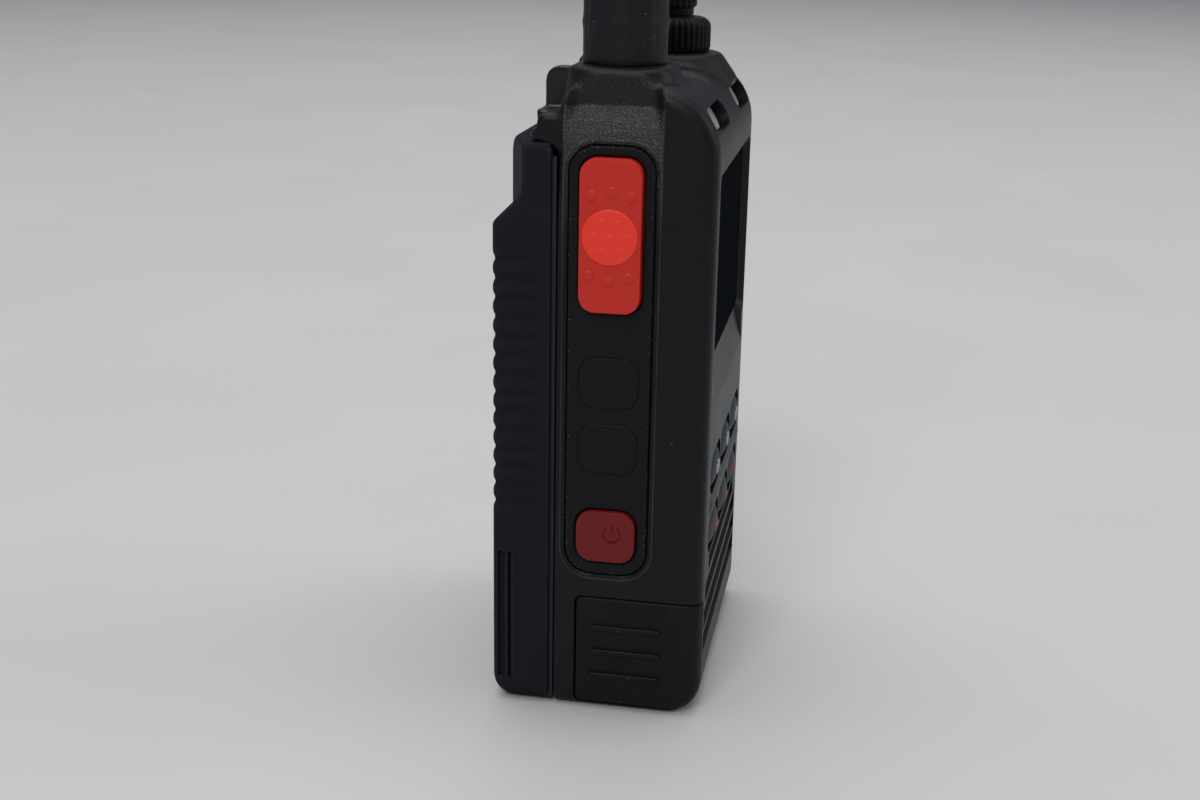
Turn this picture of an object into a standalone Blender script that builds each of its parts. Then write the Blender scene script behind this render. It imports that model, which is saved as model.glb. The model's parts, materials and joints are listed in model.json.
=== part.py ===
"""Handheld two way radio: housing, boards, side and front keys, twin knob, antenna and battery pack.

The origin is at the middle of the base. +X is to the right as seen from the front, the front
faces -Y and +Z is up. The talk button is on the left, at -X.
"""

import math

import bmesh
import bpy
from mathutils import Matrix, Vector

MM = 0.001
CLEARANCE = 0.3 * MM
OVERSHOOT = 1.0 * MM
SAME_PLACE = 0.01 * MM
PARALLEL = 0.99
SHARP_ANGLE = math.radians(35.0)
ROUND_END = 0.45

# Housing
BODY_WIDTH = 60.0 * MM
BODY_FRONT = 21.3 * MM
BODY_BACK = 6.3 * MM
BODY_HEIGHT = 115.5 * MM
WALL = 2.2 * MM
RIM_WALL = 1.8 * MM
TOP_FRONT_RADIUS = 12.0 * MM
BOTTOM_FRONT_RADIUS = 6.5 * MM
TOP_BACK_RADIUS = 4.2 * MM
SIDE_RADIUS = 3.0 * MM
HEAD_DEPTH = 11.2 * MM
LEDGE_REACH = 5.6 * MM
LEDGE_HEIGHT = 1.5 * MM
LEDGE_INSET = 0.4 * MM
LEDGE_CORNER = 3.0 * MM
SHOULDER_RISE = 3.2 * MM
SHOULDER_REACH = 3.7 * MM
SHOULDER_GAP = 0.6 * MM
SHOULDER_EDGE = 1.2 * MM

# Antenna and its collar
ANTENNA_SIDE_OFFSET = 12.0 * MM
ANTENNA_Y = -3.0 * MM
ANTENNA_RADIUS = 7.3 * MM
ANTENNA_TIP_RADIUS = 5.8 * MM
ANTENNA_TIP_STEPS = 6
ANTENNA_LENGTH = 92.0 * MM
ANTENNA_GRIP_HEIGHT = 9.0 * MM
ANTENNA_GRIP_RISE = 0.25 * MM
ROD_RADIUS = 1.9 * MM
ROD_COVER = 15.0 * MM
SOCKET_WALL = 1.8 * MM
SOCKET_DEPTH = 7.5 * MM
COLLAR_WIDTH = 18.6 * MM
COLLAR_DEPTH = 16.4 * MM
COLLAR_BACK_SHIFT = 0.9 * MM
COLLAR_RISE = 2.5 * MM
COLLAR_CORNER = 6.0 * MM
COLLAR_EDGE = 2.0 * MM

# Twin knob on its encoder
KNOB_SIDE_OFFSET = 15.0 * MM
KNOB_Y = -6.9 * MM
MOUND_RISE = 2.0 * MM
MOUND_SLOPE = 3.2 * MM
MOUND_MARGIN = 1.8 * MM
RING_RADIUS = 6.9 * MM
RING_HEIGHT = 6.3 * MM
RING_SHOULDER = 1.3 * MM
RING_RIBS = 36
RING_RIB_RADIUS = 0.42 * MM
VOLUME_RADIUS = 4.1 * MM
VOLUME_HEIGHT = 8.4 * MM
VOLUME_NECK = 0.6 * MM
VOLUME_SHAFT_RADIUS = 1.5 * MM
SHAFT_WALL = 1.1 * MM
ENCODER_WIDTH = 12.0 * MM
ENCODER_DEPTH = 11.6 * MM
ENCODER_HEIGHT = 7.0 * MM
BUSH_WALL = 0.8 * MM

# Status lenses on the curved top edge
LENS_INSET = 11.0 * MM
LENS_ANGLE = math.radians(30.6)
LENS_WIDTH = 14.0 * MM
LENS_LENGTH = 4.2 * MM
LENS_CORNER = 1.9 * MM
LENS_SINK = 1.5 * MM

# Display
DISPLAY_MARGIN = 4.0 * MM
DISPLAY_DROP = 15.1 * MM
DISPLAY_HEIGHT = 34.9 * MM
DISPLAY_SINK = 0.6 * MM
WINDOW_THICKNESS = 1.3 * MM
MODULE_THICKNESS = 3.0 * MM
MODULE_LAP = 1.0 * MM
BEZEL_WIDTH = 1.6 * MM
BEZEL_DEPTH = 0.5 * MM

# Front keys
KEY_MARGIN = 6.7 * MM
KEY_GAP = 2.0 * MM
KEY_HEIGHT = 6.2 * MM
UPPER_ROW_Z = 45.2 * MM
LOWER_ROW_Z = 33.7 * MM
KEY_CORNER = 2.2 * MM
KEY_PROUD = 0.55 * MM
KEY_EDGE_SHARE = 0.8
KEY_TRAVEL = 0.35 * MM
KEY_FLANGE = 0.7 * MM
KEY_FLANGE_THICKNESS = 1.0 * MM
MAT_THICKNESS = 0.9 * MM
BOARD_THICKNESS = 1.2 * MM
BOARD_MARGIN = 0.6 * MM

# Loudspeaker and microphone
SPEAKER_RADIUS = 10.0 * MM
SPEAKER_DEPTH = 4.8 * MM
SPEAKER_DROP = 1.5 * MM
MAGNET_SHARE = 0.6
MESH_THICKNESS = 0.4 * MM
SLOT_COUNT = 4
SLOT_PITCH = 4.85 * MM
SLOT_DROP = 2.6 * MM
SLOT_WIDTH = 1.6 * MM
SLOT_MARGIN = 13.0 * MM
MICROPHONE_RADIUS = 2.0 * MM
MICROPHONE_DEPTH = 1.5 * MM
MICROPHONE_HOLE = 0.6 * MM

# Side key strip
STRIP_Y = -3.25 * MM
STRIP_WIDTH = 15.5 * MM
STRIP_BOTTOM = 27.2 * MM
STRIP_DROP = 9.7 * MM
STRIP_CORNER = 5.0 * MM
STRIP_THICKNESS = 1.1 * MM
STRIP_SINK = 0.1 * MM
STRIP_LIP = 0.7 * MM
SIDE_KEY_WIDTH = 10.8 * MM
SIDE_KEY_FLANGE = 0.8 * MM
SIDE_KEY_FLANGE_THICKNESS = 1.0 * MM
SIDE_KEY_END = 1.6 * MM
TALK_DROP = 15.6 * MM
TALK_LENGTH = 26.7 * MM
TALK_PROUD = 1.5 * MM
TALK_TRAVEL = 1.0 * MM
TALK_CORNER = 3.5 * MM
TALK_DISC_RADIUS = 4.95 * MM
TALK_DISC_RISE = 0.3 * MM
UPPER_KEY_SHARE = 0.65
LOWER_KEY_SHARE = 0.318
SOFT_KEY_SHARE = 0.251
SOFT_KEY_PROUD = 0.05 * MM
POWER_Z = 34.9 * MM
POWER_LENGTH = 9.8 * MM
POWER_PROUD = 0.5 * MM
SMALL_KEY_CORNER = 3.0 * MM
SMALL_KEY_TRAVEL = 0.5 * MM
SWITCH_SIZE = 5.0 * MM
SWITCH_DEPTH = 1.6 * MM
SIDE_BOARD_WIDTH = 10.0 * MM
SIDE_BOARD_THICKNESS = 1.0 * MM

# Accessory sockets and their cover
COVER_BACK = 2.0 * MM
COVER_TOP = 22.6 * MM
COVER_BOTTOM = 1.2 * MM
COVER_THICKNESS = 2.5 * MM
COVER_RIDGE_LENGTH = 13.2 * MM
COVER_RIDGE_HEIGHT = 1.3 * MM
COVER_RIDGE_RISE = 0.45 * MM
COVER_RIDGE_PITCH = 4.8 * MM
COVER_RIDGE_COUNT = 3
COVER_SOLE = 2.0 * MM
JACK_Y = -8.0 * MM
JACK_LOW_Z = 6.4 * MM
JACK_SPACING = 10.5 * MM
JACK_RADIUS = 3.0 * MM
JACK_LENGTH = 8.0 * MM
JACK_LARGE_BORE = 1.75 * MM
JACK_SMALL_BORE = 1.25 * MM

# Chassis behind the housing, with boards and contacts
CHASSIS_THICKNESS = 2.6 * MM
GASKET_WIDTH = 1.0 * MM
GASKET_DEPTH = 1.2 * MM
STANDOFF_RADIUS = 2.0 * MM
STANDOFF_HEIGHT = 1.6 * MM
STANDOFF_INSET = 4.0 * MM
CHASSIS_RIB = 1.4 * MM
CHASSIS_RIB_INSET = 3.0 * MM
MAIN_BOARD_BOTTOM = 25.0 * MM
MAIN_BOARD_GAP = 2.7 * MM
SHIELD_INSET = 9.0 * MM
SHIELD_HEIGHT = 3.2 * MM
SHIELD_WALL = 0.5 * MM
BOSS_INSET = 9.0 * MM
BOSS_HALF_WIDTH = 3.0 * MM
BOSS_TOP = 11.0 * MM
BOSS_DEPTH = 5.0 * MM
SCREW_Z = 7.5 * MM
SCREW_RADIUS = 1.1 * MM
SCREW_HEAD_RADIUS = 2.1 * MM
SCREW_HEAD_HEIGHT = 1.3 * MM
SCREW_LENGTH = 4.0 * MM
CONTACT_COUNT = 3
CONTACT_PITCH = 5.0 * MM
CONTACT_Z = 16.0 * MM
CONTACT_BLOCK_HEIGHT = 8.0 * MM
CONTACT_BLOCK_DEPTH = 5.4 * MM
CONTACT_RADIUS = 0.8 * MM
CONTACT_LENGTH = 2.6 * MM
CONTACT_EDGE = 2.6 * MM

# Battery pack
BATTERY_GROOVE = 0.9 * MM
BATTERY_DEPTH = 10.9 * MM
BATTERY_FOOT = 0.4 * MM
BATTERY_WALL = 1.6 * MM
BATTERY_LOW_RADIUS = 4.0 * MM
BATTERY_TOP_RADIUS = 4.0 * MM
BATTERY_SIDE_RADIUS = 2.2 * MM
BATTERY_HEAD = 17.0 * MM
SCOOP_WIDTH = 17.0 * MM
SCOOP_DEPTH = 6.1 * MM
SCOOP_DROP = 14.3 * MM
GRIP_COUNT = 14
GRIP_BOTTOM = 39.7 * MM
GRIP_DROP = 20.6 * MM
GRIP_DEPTH = 0.45 * MM
GRIP_SHARE = 0.75
GRIP_FRONT_MARGIN = 2.7 * MM
RAIL_BOTTOM = 3.9 * MM
RAIL_TOP = 30.3 * MM
RAIL_SLOT = 0.8 * MM
RAIL_RIB = 0.7 * MM
RAIL_BACK_MARGIN = 1.5 * MM
RAIL_DEPTH = 0.8 * MM
LID_THICKNESS = 1.2 * MM
CELL_LENGTH = 66.0 * MM
CELL_CORNER_SHARE = 0.3
TERMINAL_WIDTH = 2.6 * MM
TERMINAL_LENGTH = 6.0 * MM
TERMINAL_THICKNESS = 0.6 * MM

# Battery latch
LATCH_WIDTH = 32.0 * MM
LATCH_DEPTH = 4.8 * MM
LATCH_HEIGHT = 8.8 * MM
LATCH_GAP = 0.9 * MM
LATCH_TRAVEL = 0.6 * MM
LATCH_CORNER = 2.4 * MM
LATCH_END_WALL = 2.6 * MM
LATCH_DISH = 3.4 * MM
LATCH_FOOT_WIDTH = 40.0 * MM
LATCH_FOOT_HEIGHT = 1.6 * MM
LATCH_FOOT_REACH = 0.8 * MM
LATCH_TONGUE_WIDTH = 8.0 * MM
LATCH_TONGUE_HEIGHT = 2.0 * MM
LATCH_TONGUE_LIFT = 2.6 * MM
SPRING_SPREAD = 10.0 * MM
SPRING_RADIUS = 1.1 * MM
SPRING_WIRE = 0.25 * MM
SPRING_LENGTH = 4.4 * MM
SPRING_TURNS = 4

# Planes that the sizes above settle
LEFT = -BODY_WIDTH / 2
RIGHT = BODY_WIDTH / 2
FRONT = -BODY_FRONT
BACK = BODY_BACK
INNER_LEFT = LEFT + WALL
INNER_RIGHT = RIGHT - WALL
INNER_FRONT = FRONT + WALL
INNER_TOP = BODY_HEIGHT - WALL
HEAD_BACK = BACK - WALL
HEAD_BOTTOM = BODY_HEIGHT - HEAD_DEPTH
COLLAR_TOP = BODY_HEIGHT + COLLAR_RISE
MOUND_TOP = BODY_HEIGHT + MOUND_RISE
LEDGE_TOP = BODY_HEIGHT - HEAD_DEPTH + LEDGE_HEIGHT + 2 * CLEARANCE + BATTERY_GROOVE
BOSS_BACK = HEAD_BACK - CLEARANCE
CHASSIS_FRONT = BOSS_BACK + CLEARANCE
CHASSIS_BACK = CHASSIS_FRONT + CHASSIS_THICKNESS
BATTERY_FRONT = BACK + BATTERY_GROOVE
BATTERY_BACK = BATTERY_FRONT + BATTERY_DEPTH
BATTERY_TOP = LEDGE_TOP - LEDGE_HEIGHT - CLEARANCE

ANTENNA_X = LEFT + ANTENNA_SIDE_OFFSET
KNOB_X = RIGHT - KNOB_SIDE_OFFSET

# Colour, roughness and metalness of each finish
FINISHES = {
    "black_abs": ((0.012, 0.012, 0.013), 0.55, 0.0),
    "black_rubber": ((0.010, 0.010, 0.011), 0.75, 0.0),
    "red_rubber": ((0.55, 0.035, 0.025), 0.50, 0.0),
    "dark_red_rubber": ((0.16, 0.012, 0.012), 0.50, 0.0),
    "grey_silicone": ((0.030, 0.034, 0.040), 0.60, 0.0),
    "black_glass": ((0.004, 0.004, 0.005), 0.08, 0.0),
    "pale_lens": ((0.70, 0.70, 0.66), 0.25, 0.0),
    "die_cast_aluminium": ((0.55, 0.55, 0.56), 0.45, 1.0),
    "green_board": ((0.010, 0.080, 0.030), 0.50, 0.0),
    "brass": ((0.70, 0.52, 0.22), 0.30, 1.0),
    "steel": ((0.56, 0.56, 0.57), 0.35, 1.0),
    "gold_plate": ((0.83, 0.62, 0.24), 0.30, 1.0),
    "cell_wrap": ((0.05, 0.12, 0.30), 0.50, 0.0),
}


def clear_scene():
    for old in list(bpy.data.objects):
        bpy.data.objects.remove(old, do_unlink=True)


def new_collection(name):
    made = bpy.data.collections.new(name)
    bpy.context.scene.collection.children.link(made)
    return made


def finish(name):
    material = bpy.data.materials.get(name)
    if material is None:
        colour, roughness, metallic = FINISHES[name]
        material = bpy.data.materials.new(name)
        material.use_nodes = True
        shader = material.node_tree.nodes["Principled BSDF"]
        shader.inputs["Base Color"].default_value = (*colour, 1.0)
        shader.inputs["Roughness"].default_value = roughness
        shader.inputs["Metallic"].default_value = metallic
    return material


def smooth(mesh):
    mesh.shade_smooth()
    mesh.set_sharp_from_angle(angle=SHARP_ANGLE)


def store(shape, name, origin, collection):
    bmesh.ops.translate(shape, vec=-Vector(origin), verts=shape.verts)
    mesh = bpy.data.meshes.new(name)
    shape.to_mesh(mesh)
    shape.free()
    smooth(mesh)
    made = bpy.data.objects.new(name, mesh)
    made.location = origin
    collection.objects.link(made)
    return made


def part(shape, name, material, origin=(0.0, 0.0, 0.0)):
    made = store(shape, name, origin, PARTS)
    made.data.materials.append(finish(material))
    return made


def tool(shape, name):
    made = store(shape, name, (0.0, 0.0, 0.0), TOOLS)
    made.hide_render = True
    made.display_type = "WIRE"
    return made


def combine(target, other, operation):
    change = target.modifiers.new(other.name, "BOOLEAN")
    change.operation = operation
    change.solver = "EXACT"
    change.object = other


def cut(target, other):
    combine(target, other, "DIFFERENCE")


def join(target, other):
    combine(target, other, "UNION")


def edges_of(verts):
    return list({edge for vert in verts for edge in vert.link_edges})


def round_edges(shape, edges, radius, segments):
    bmesh.ops.bevel(shape, geom=edges, offset=radius, offset_type="OFFSET", segments=segments,
                    profile=0.5, affect="EDGES", clamp_overlap=False, material=-1)


def along(edge, axis):
    return abs((edge.verts[1].co - edge.verts[0].co).normalized()[axis]) > PARALLEL


def add_block(shape, low, high, axis=None, radius=0.0, segments=4):
    """Adds a box between two corners, with the four edges along one axis rounded."""
    low = Vector(low)
    high = Vector(high)
    verts = bmesh.ops.create_cube(shape, size=1.0)["verts"]
    bmesh.ops.scale(shape, vec=high - low, verts=verts)
    bmesh.ops.translate(shape, vec=(low + high) / 2, verts=verts)
    if axis is not None:
        edges = [edge for edge in edges_of(verts) if along(edge, axis)]
        round_edges(shape, edges, radius, segments)


def add_rod(shape, start, end, radius, end_radius=None, segments=24):
    """Adds a round rod or a tapered one between two points."""
    start = Vector(start)
    end = Vector(end)
    span = end - start
    turn = Vector((0.0, 0.0, 1.0)).rotation_difference(span).to_matrix().to_4x4()
    bmesh.ops.create_cone(shape, cap_ends=True, segments=segments, radius1=radius,
                          radius2=radius if end_radius is None else end_radius, depth=span.length,
                          matrix=Matrix.Translation((start + end) / 2) @ turn)


def block(low, high, axis=None, radius=0.0, segments=4):
    shape = bmesh.new()
    add_block(shape, low, high, axis, radius, segments)
    return shape


def rod(start, end, radius, end_radius=None, segments=24):
    shape = bmesh.new()
    add_rod(shape, start, end, radius, end_radius, segments)
    return shape


def hull_faces(shape, low_ends, high_ends):
    """Closes a four-cornered column between its lower and its upper corners."""
    faces = [low_ends, high_ends]
    for index in range(len(low_ends)):
        following = (index + 1) % len(low_ends)
        faces.append([low_ends[index], low_ends[following], high_ends[following], high_ends[index]])
    made = [shape.faces.new(corners) for corners in faces]
    bmesh.ops.recalc_face_normals(shape, faces=made)


def turned(name, profile, centre, material, closed=False, steps=32):
    """Turns a profile of radius and height about an upright axis; it runs top to bottom outside."""
    shape = bmesh.new()
    verts = [shape.verts.new((radius, 0.0, height)) for radius, height in profile]
    pairs = list(zip(verts, verts[1:]))
    if closed:
        pairs.append((verts[-1], verts[0]))
    for pair in pairs:
        shape.edges.new(pair)
    mesh = bpy.data.meshes.new(name)
    shape.to_mesh(mesh)
    shape.free()
    made = bpy.data.objects.new(name, mesh)
    made.location = (centre[0], centre[1], 0.0)
    PARTS.objects.link(made)
    mesh.materials.append(finish(material))
    screw = made.modifiers.new("turn", "SCREW")
    screw.axis = "Z"
    screw.angle = math.tau
    screw.steps = steps
    screw.render_steps = steps
    screw.use_merge_vertices = True
    screw.merge_threshold = SAME_PLACE / 10
    screw.use_smooth_shade = True
    return made


def outer_body():
    """The full outer form of the housing, before anything is cut."""
    shape = block((LEFT, FRONT, 0.0), (RIGHT, BACK, BODY_HEIGHT))
    corners = (
        (FRONT, BODY_HEIGHT, TOP_FRONT_RADIUS, 8),
        (FRONT, 0.0, BOTTOM_FRONT_RADIUS, 5),
        (BACK, BODY_HEIGHT, TOP_BACK_RADIUS, 4),
    )
    for y, z, radius, segments in corners:
        edges = [edge for edge in shape.edges if along(edge, 0) and at(edge, 1, y) and at(edge, 2, z)]
        round_edges(shape, edges, radius, segments)
    outline = [edge for edge in shape.edges
               if (at(edge, 0, LEFT) or at(edge, 0, RIGHT)) and not at(edge, 1, BACK)]
    round_edges(shape, outline, SIDE_RADIUS, 4)
    return shape


def at(edge, axis, value):
    return all(abs(vert.co[axis] - value) < SAME_PLACE for vert in edge.verts)


def hollow():
    """The room inside the housing, with its front edges rounded like the outer ones."""
    shape = block((INNER_LEFT, INNER_FRONT, WALL), (INNER_RIGHT, HEAD_BACK, INNER_TOP))
    for z, radius, segments in ((INNER_TOP, TOP_FRONT_RADIUS, 6), (WALL, BOTTOM_FRONT_RADIUS, 4)):
        edges = [edge for edge in shape.edges
                 if along(edge, 0) and at(edge, 1, INNER_FRONT) and at(edge, 2, z)]
        round_edges(shape, edges, radius - WALL, segments)
    room = tool(shape, "housing_room")
    kept = bmesh.new()
    jack_wall = cover_inner() + CLEARANCE + WALL
    add_block(kept, (LEFT - OVERSHOOT, FRONT - OVERSHOOT, -OVERSHOOT),
              (jack_wall, COVER_BACK + WALL, COVER_TOP + WALL))
    for x in screw_places():
        add_block(kept, (x - BOSS_HALF_WIDTH, BOSS_BACK - BOSS_DEPTH, -OVERSHOOT),
                  (x + BOSS_HALF_WIDTH, BACK, BOSS_TOP))
    cut(room, tool(kept, "kept_walls"))
    return room


def room_ceiling(y):
    """Height of the room at a depth, under the curve of its top front edge."""
    radius = TOP_FRONT_RADIUS - WALL
    reach = max(0.0, FRONT + TOP_FRONT_RADIUS - y)
    return BODY_HEIGHT - TOP_FRONT_RADIUS + math.sqrt(radius ** 2 - reach ** 2)


def cover_inner():
    return LEFT + COVER_THICKNESS


def screw_places():
    return (LEFT + BOSS_INSET, RIGHT - BOSS_INSET)


def opening():
    """Corners of the back opening that the chassis closes."""
    return (LEFT + RIM_WALL, RIM_WALL), (RIGHT - RIM_WALL, HEAD_BOTTOM)


def key_width():
    return (BODY_WIDTH - 2 * KEY_MARGIN - 2 * KEY_GAP) / 3


def key_places():
    places = []
    for row, z in (("upper", UPPER_ROW_Z), ("lower", LOWER_ROW_Z)):
        for column, side in (("left", -1), ("middle", 0), ("right", 1)):
            places.append((f"{row}_{column}_key", side * (key_width() + KEY_GAP), z))
    return places


def keypad_bottom():
    return LOWER_ROW_Z - KEY_HEIGHT / 2 - KEY_FLANGE - CLEARANCE


def speaker_z():
    """Halfway between the keys and the start of the curved bottom edge."""
    return (keypad_bottom() + BOTTOM_FRONT_RADIUS) / 2


def side_keys():
    """Name, centre height, length, corner, how far it stands proud and finish of each.

    The two soft keys share the room between the power button and the talk button.
    """
    talk_z = strip_top() - TALK_DROP
    room_bottom = POWER_Z + POWER_LENGTH / 2
    room = talk_z - TALK_LENGTH / 2 - room_bottom
    soft = (room * SOFT_KEY_SHARE, SMALL_KEY_CORNER, SOFT_KEY_PROUD, "black_rubber")
    return (
        ("talk_button", talk_z, TALK_LENGTH, TALK_CORNER, TALK_PROUD, "red_rubber"),
        ("upper_side_key", room_bottom + room * UPPER_KEY_SHARE, *soft),
        ("lower_side_key", room_bottom + room * LOWER_KEY_SHARE, *soft),
        ("power_button", POWER_Z, POWER_LENGTH, SMALL_KEY_CORNER, POWER_PROUD, "dark_red_rubber"),
    )


def strip_top():
    return BODY_HEIGHT - STRIP_DROP


def strip_floor():
    return LEFT + WALL - STRIP_LIP


def side_key_inner():
    return strip_floor() + SIDE_KEY_FLANGE_THICKNESS + SIDE_KEY_END


def switch_face():
    return side_key_inner() + max(TALK_TRAVEL, SMALL_KEY_TRAVEL) + CLEARANCE


def strip_block(shape, low_x, high_x, margin):
    add_block(shape, (low_x, STRIP_Y - STRIP_WIDTH / 2 - margin, STRIP_BOTTOM - margin),
              (high_x, STRIP_Y + STRIP_WIDTH / 2 + margin, strip_top() + margin),
              0, STRIP_CORNER + margin, 6)


def key_block(shape, key, low_x, high_x, margin):
    z, length, corner = key[1:4]
    add_block(shape, (low_x, STRIP_Y - SIDE_KEY_WIDTH / 2 - margin, z - length / 2 - margin),
              (high_x, STRIP_Y + SIDE_KEY_WIDTH / 2 + margin, z + length / 2 + margin),
              0, corner + margin, 5)


def lens_frame():
    """Turns a box drawn about the origin, pointing along -Y, onto the curved top edge."""
    middle = Vector((0.0, FRONT + TOP_FRONT_RADIUS, BODY_HEIGHT - TOP_FRONT_RADIUS))
    return Matrix.Translation(middle) @ Matrix.Rotation(-LENS_ANGLE, 4, "X")


def add_lens(shape, side, near, far, margin):
    start = len(shape.verts)
    half = LENS_WIDTH / 2 + margin
    x = side * (BODY_WIDTH / 2 - LENS_INSET)
    add_block(shape, (x - half, -far, -LENS_LENGTH / 2 - margin),
              (x + half, -near, LENS_LENGTH / 2 + margin), 1, LENS_CORNER + margin, 4)
    shape.verts.ensure_lookup_table()
    bmesh.ops.transform(shape, matrix=lens_frame(), verts=shape.verts[start:])


def make_housing():
    housing = part(outer_body(), "housing", "black_abs")

    collar = block((ANTENNA_X - COLLAR_WIDTH / 2, collar_y() - COLLAR_DEPTH / 2, INNER_TOP),
                   (ANTENNA_X + COLLAR_WIDTH / 2, collar_y() + COLLAR_DEPTH / 2, COLLAR_TOP),
                   2, COLLAR_CORNER, 5)
    rim = [edge for edge in collar.edges if at(edge, 2, COLLAR_TOP)]
    round_edges(collar, rim, COLLAR_EDGE, 3)
    join(housing, tool(collar, "antenna_collar"))

    top_radius = RING_RADIUS + MOUND_MARGIN
    mound = rod((KNOB_X, KNOB_Y, INNER_TOP), (KNOB_X, KNOB_Y, MOUND_TOP),
                top_radius + MOUND_SLOPE, top_radius, 32)
    join(housing, tool(mound, "knob_mound"))

    ledge = block((LEFT + LEDGE_INSET, HEAD_BACK, LEDGE_TOP - LEDGE_HEIGHT),
                  (RIGHT - LEDGE_INSET, BACK + LEDGE_REACH, LEDGE_TOP))
    corners = [edge for edge in ledge.edges if along(edge, 2) and at(edge, 1, BACK + LEDGE_REACH)]
    round_edges(ledge, corners, LEDGE_CORNER, 4)
    join(housing, tool(ledge, "rear_ledge"))
    shoulder_back = BACK + SHOULDER_REACH
    shoulder_top = LEDGE_TOP + SHOULDER_RISE
    for side, name in ((-1, "left"), (1, "right")):
        near = side * (LATCH_FOOT_WIDTH / 2 + SHOULDER_GAP)
        far = side * (BODY_WIDTH / 2 - LEDGE_INSET)
        shoulder = block((min(near, far), HEAD_BACK, LEDGE_TOP - LEDGE_HEIGHT / 2),
                         (max(near, far), shoulder_back, shoulder_top))
        rear = [edge for edge in shoulder.edges
                if along(edge, 0) and at(edge, 1, shoulder_back) and at(edge, 2, shoulder_top)]
        round_edges(shoulder, rear, SHOULDER_EDGE, 3)
        join(housing, tool(shoulder, f"{name}_shoulder"))

    cut(housing, hollow())
    low, high = opening()
    cut(housing, tool(block((low[0], BOSS_BACK, low[1]), (high[0], BACK + OVERSHOOT, high[1])),
                      "back_opening"))

    recess = bmesh.new()
    strip_block(recess, LEFT - OVERSHOOT, strip_floor(), 0.0)
    cut(housing, tool(recess, "strip_recess"))
    way = bmesh.new()
    strip_block(way, strip_floor() - OVERSHOOT, INNER_LEFT + OVERSHOOT, -strip_shelf())
    cut(housing, tool(way, "strip_way"))

    pocket = block((LEFT - OVERSHOOT, FRONT - OVERSHOOT, COVER_BOTTOM - CLEARANCE),
                   (cover_inner() + CLEARANCE, COVER_BACK + CLEARANCE, COVER_TOP + CLEARANCE))
    cut(housing, tool(pocket, "cover_pocket"))

    front_holes = bmesh.new()
    low, high = window_corners()
    add_block(front_holes, (low[0] - CLEARANCE, FRONT - OVERSHOOT, low[1] - CLEARANCE),
              (high[0] + CLEARANCE, INNER_FRONT + OVERSHOOT, high[1] + CLEARANCE))
    for _, x, z in key_places():
        add_key(front_holes, x, z, FRONT - OVERSHOOT, INNER_FRONT + OVERSHOOT, CLEARANCE)
    for z in slot_heights():
        add_block(front_holes, (LEFT + SLOT_MARGIN, FRONT - OVERSHOOT, z - SLOT_WIDTH / 2),
                  (RIGHT - SLOT_MARGIN, INNER_FRONT + OVERSHOOT, z + SLOT_WIDTH / 2),
                  1, SLOT_WIDTH * ROUND_END, 2)
    x, z = microphone_place()
    add_rod(front_holes, (x, FRONT - OVERSHOOT, z), (x, INNER_FRONT + OVERSHOOT, z), MICROPHONE_HOLE,
            segments=10)
    cut(housing, tool(front_holes, "front_holes"))
    cut(housing, tool(bezel(), "display_bezel"))

    lens_slots = bmesh.new()
    for side in (-1, 1):
        add_lens(lens_slots, side, lens_inner() - OVERSHOOT, TOP_FRONT_RADIUS + OVERSHOOT, CLEARANCE)
    cut(housing, tool(lens_slots, "lens_slots"))

    bores = bmesh.new()
    add_rod(bores, (ANTENNA_X, ANTENNA_Y, INNER_TOP - OVERSHOOT),
            (ANTENNA_X, ANTENNA_Y, COLLAR_TOP + OVERSHOOT), socket_radius() + CLEARANCE)
    add_rod(bores, (KNOB_X, KNOB_Y, INNER_TOP - OVERSHOOT), (KNOB_X, KNOB_Y, MOUND_TOP + OVERSHOOT),
            bush_radius() + CLEARANCE)
    for z in jack_heights():
        add_rod(bores, (cover_inner() - OVERSHOOT, JACK_Y, z),
                (cover_inner() + CLEARANCE + WALL + OVERSHOOT, JACK_Y, z), JACK_RADIUS + CLEARANCE,
                segments=20)
    for x in screw_places():
        add_rod(bores, (x, BOSS_BACK - SCREW_LENGTH, SCREW_Z), (x, BOSS_BACK + OVERSHOOT, SCREW_Z),
                SCREW_RADIUS + CLEARANCE, segments=12)
    half = LATCH_TONGUE_WIDTH / 2 + CLEARANCE
    low_z = tongue_bottom() - LATCH_TRAVEL - CLEARANCE
    add_block(bores, (-half, HEAD_BACK - OVERSHOOT, low_z),
              (half, BACK + OVERSHOOT, tongue_bottom() + LATCH_TONGUE_HEIGHT + CLEARANCE))
    cut(housing, tool(bores, "housing_bores"))


def collar_y():
    return ANTENNA_Y + COLLAR_BACK_SHIFT


def socket_radius():
    return ROD_RADIUS + CLEARANCE + SOCKET_WALL


def tube_radius():
    return VOLUME_SHAFT_RADIUS + CLEARANCE + SHAFT_WALL


def bush_radius():
    return tube_radius() + CLEARANCE + BUSH_WALL


def strip_shelf():
    return (STRIP_WIDTH - SIDE_KEY_WIDTH) / 2 - SIDE_KEY_FLANGE - CLEARANCE


def lens_inner():
    return TOP_FRONT_RADIUS - WALL - CLEARANCE


def window_corners():
    top = BODY_HEIGHT - DISPLAY_DROP
    return (LEFT + DISPLAY_MARGIN, top - DISPLAY_HEIGHT), (RIGHT - DISPLAY_MARGIN, top)


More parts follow.
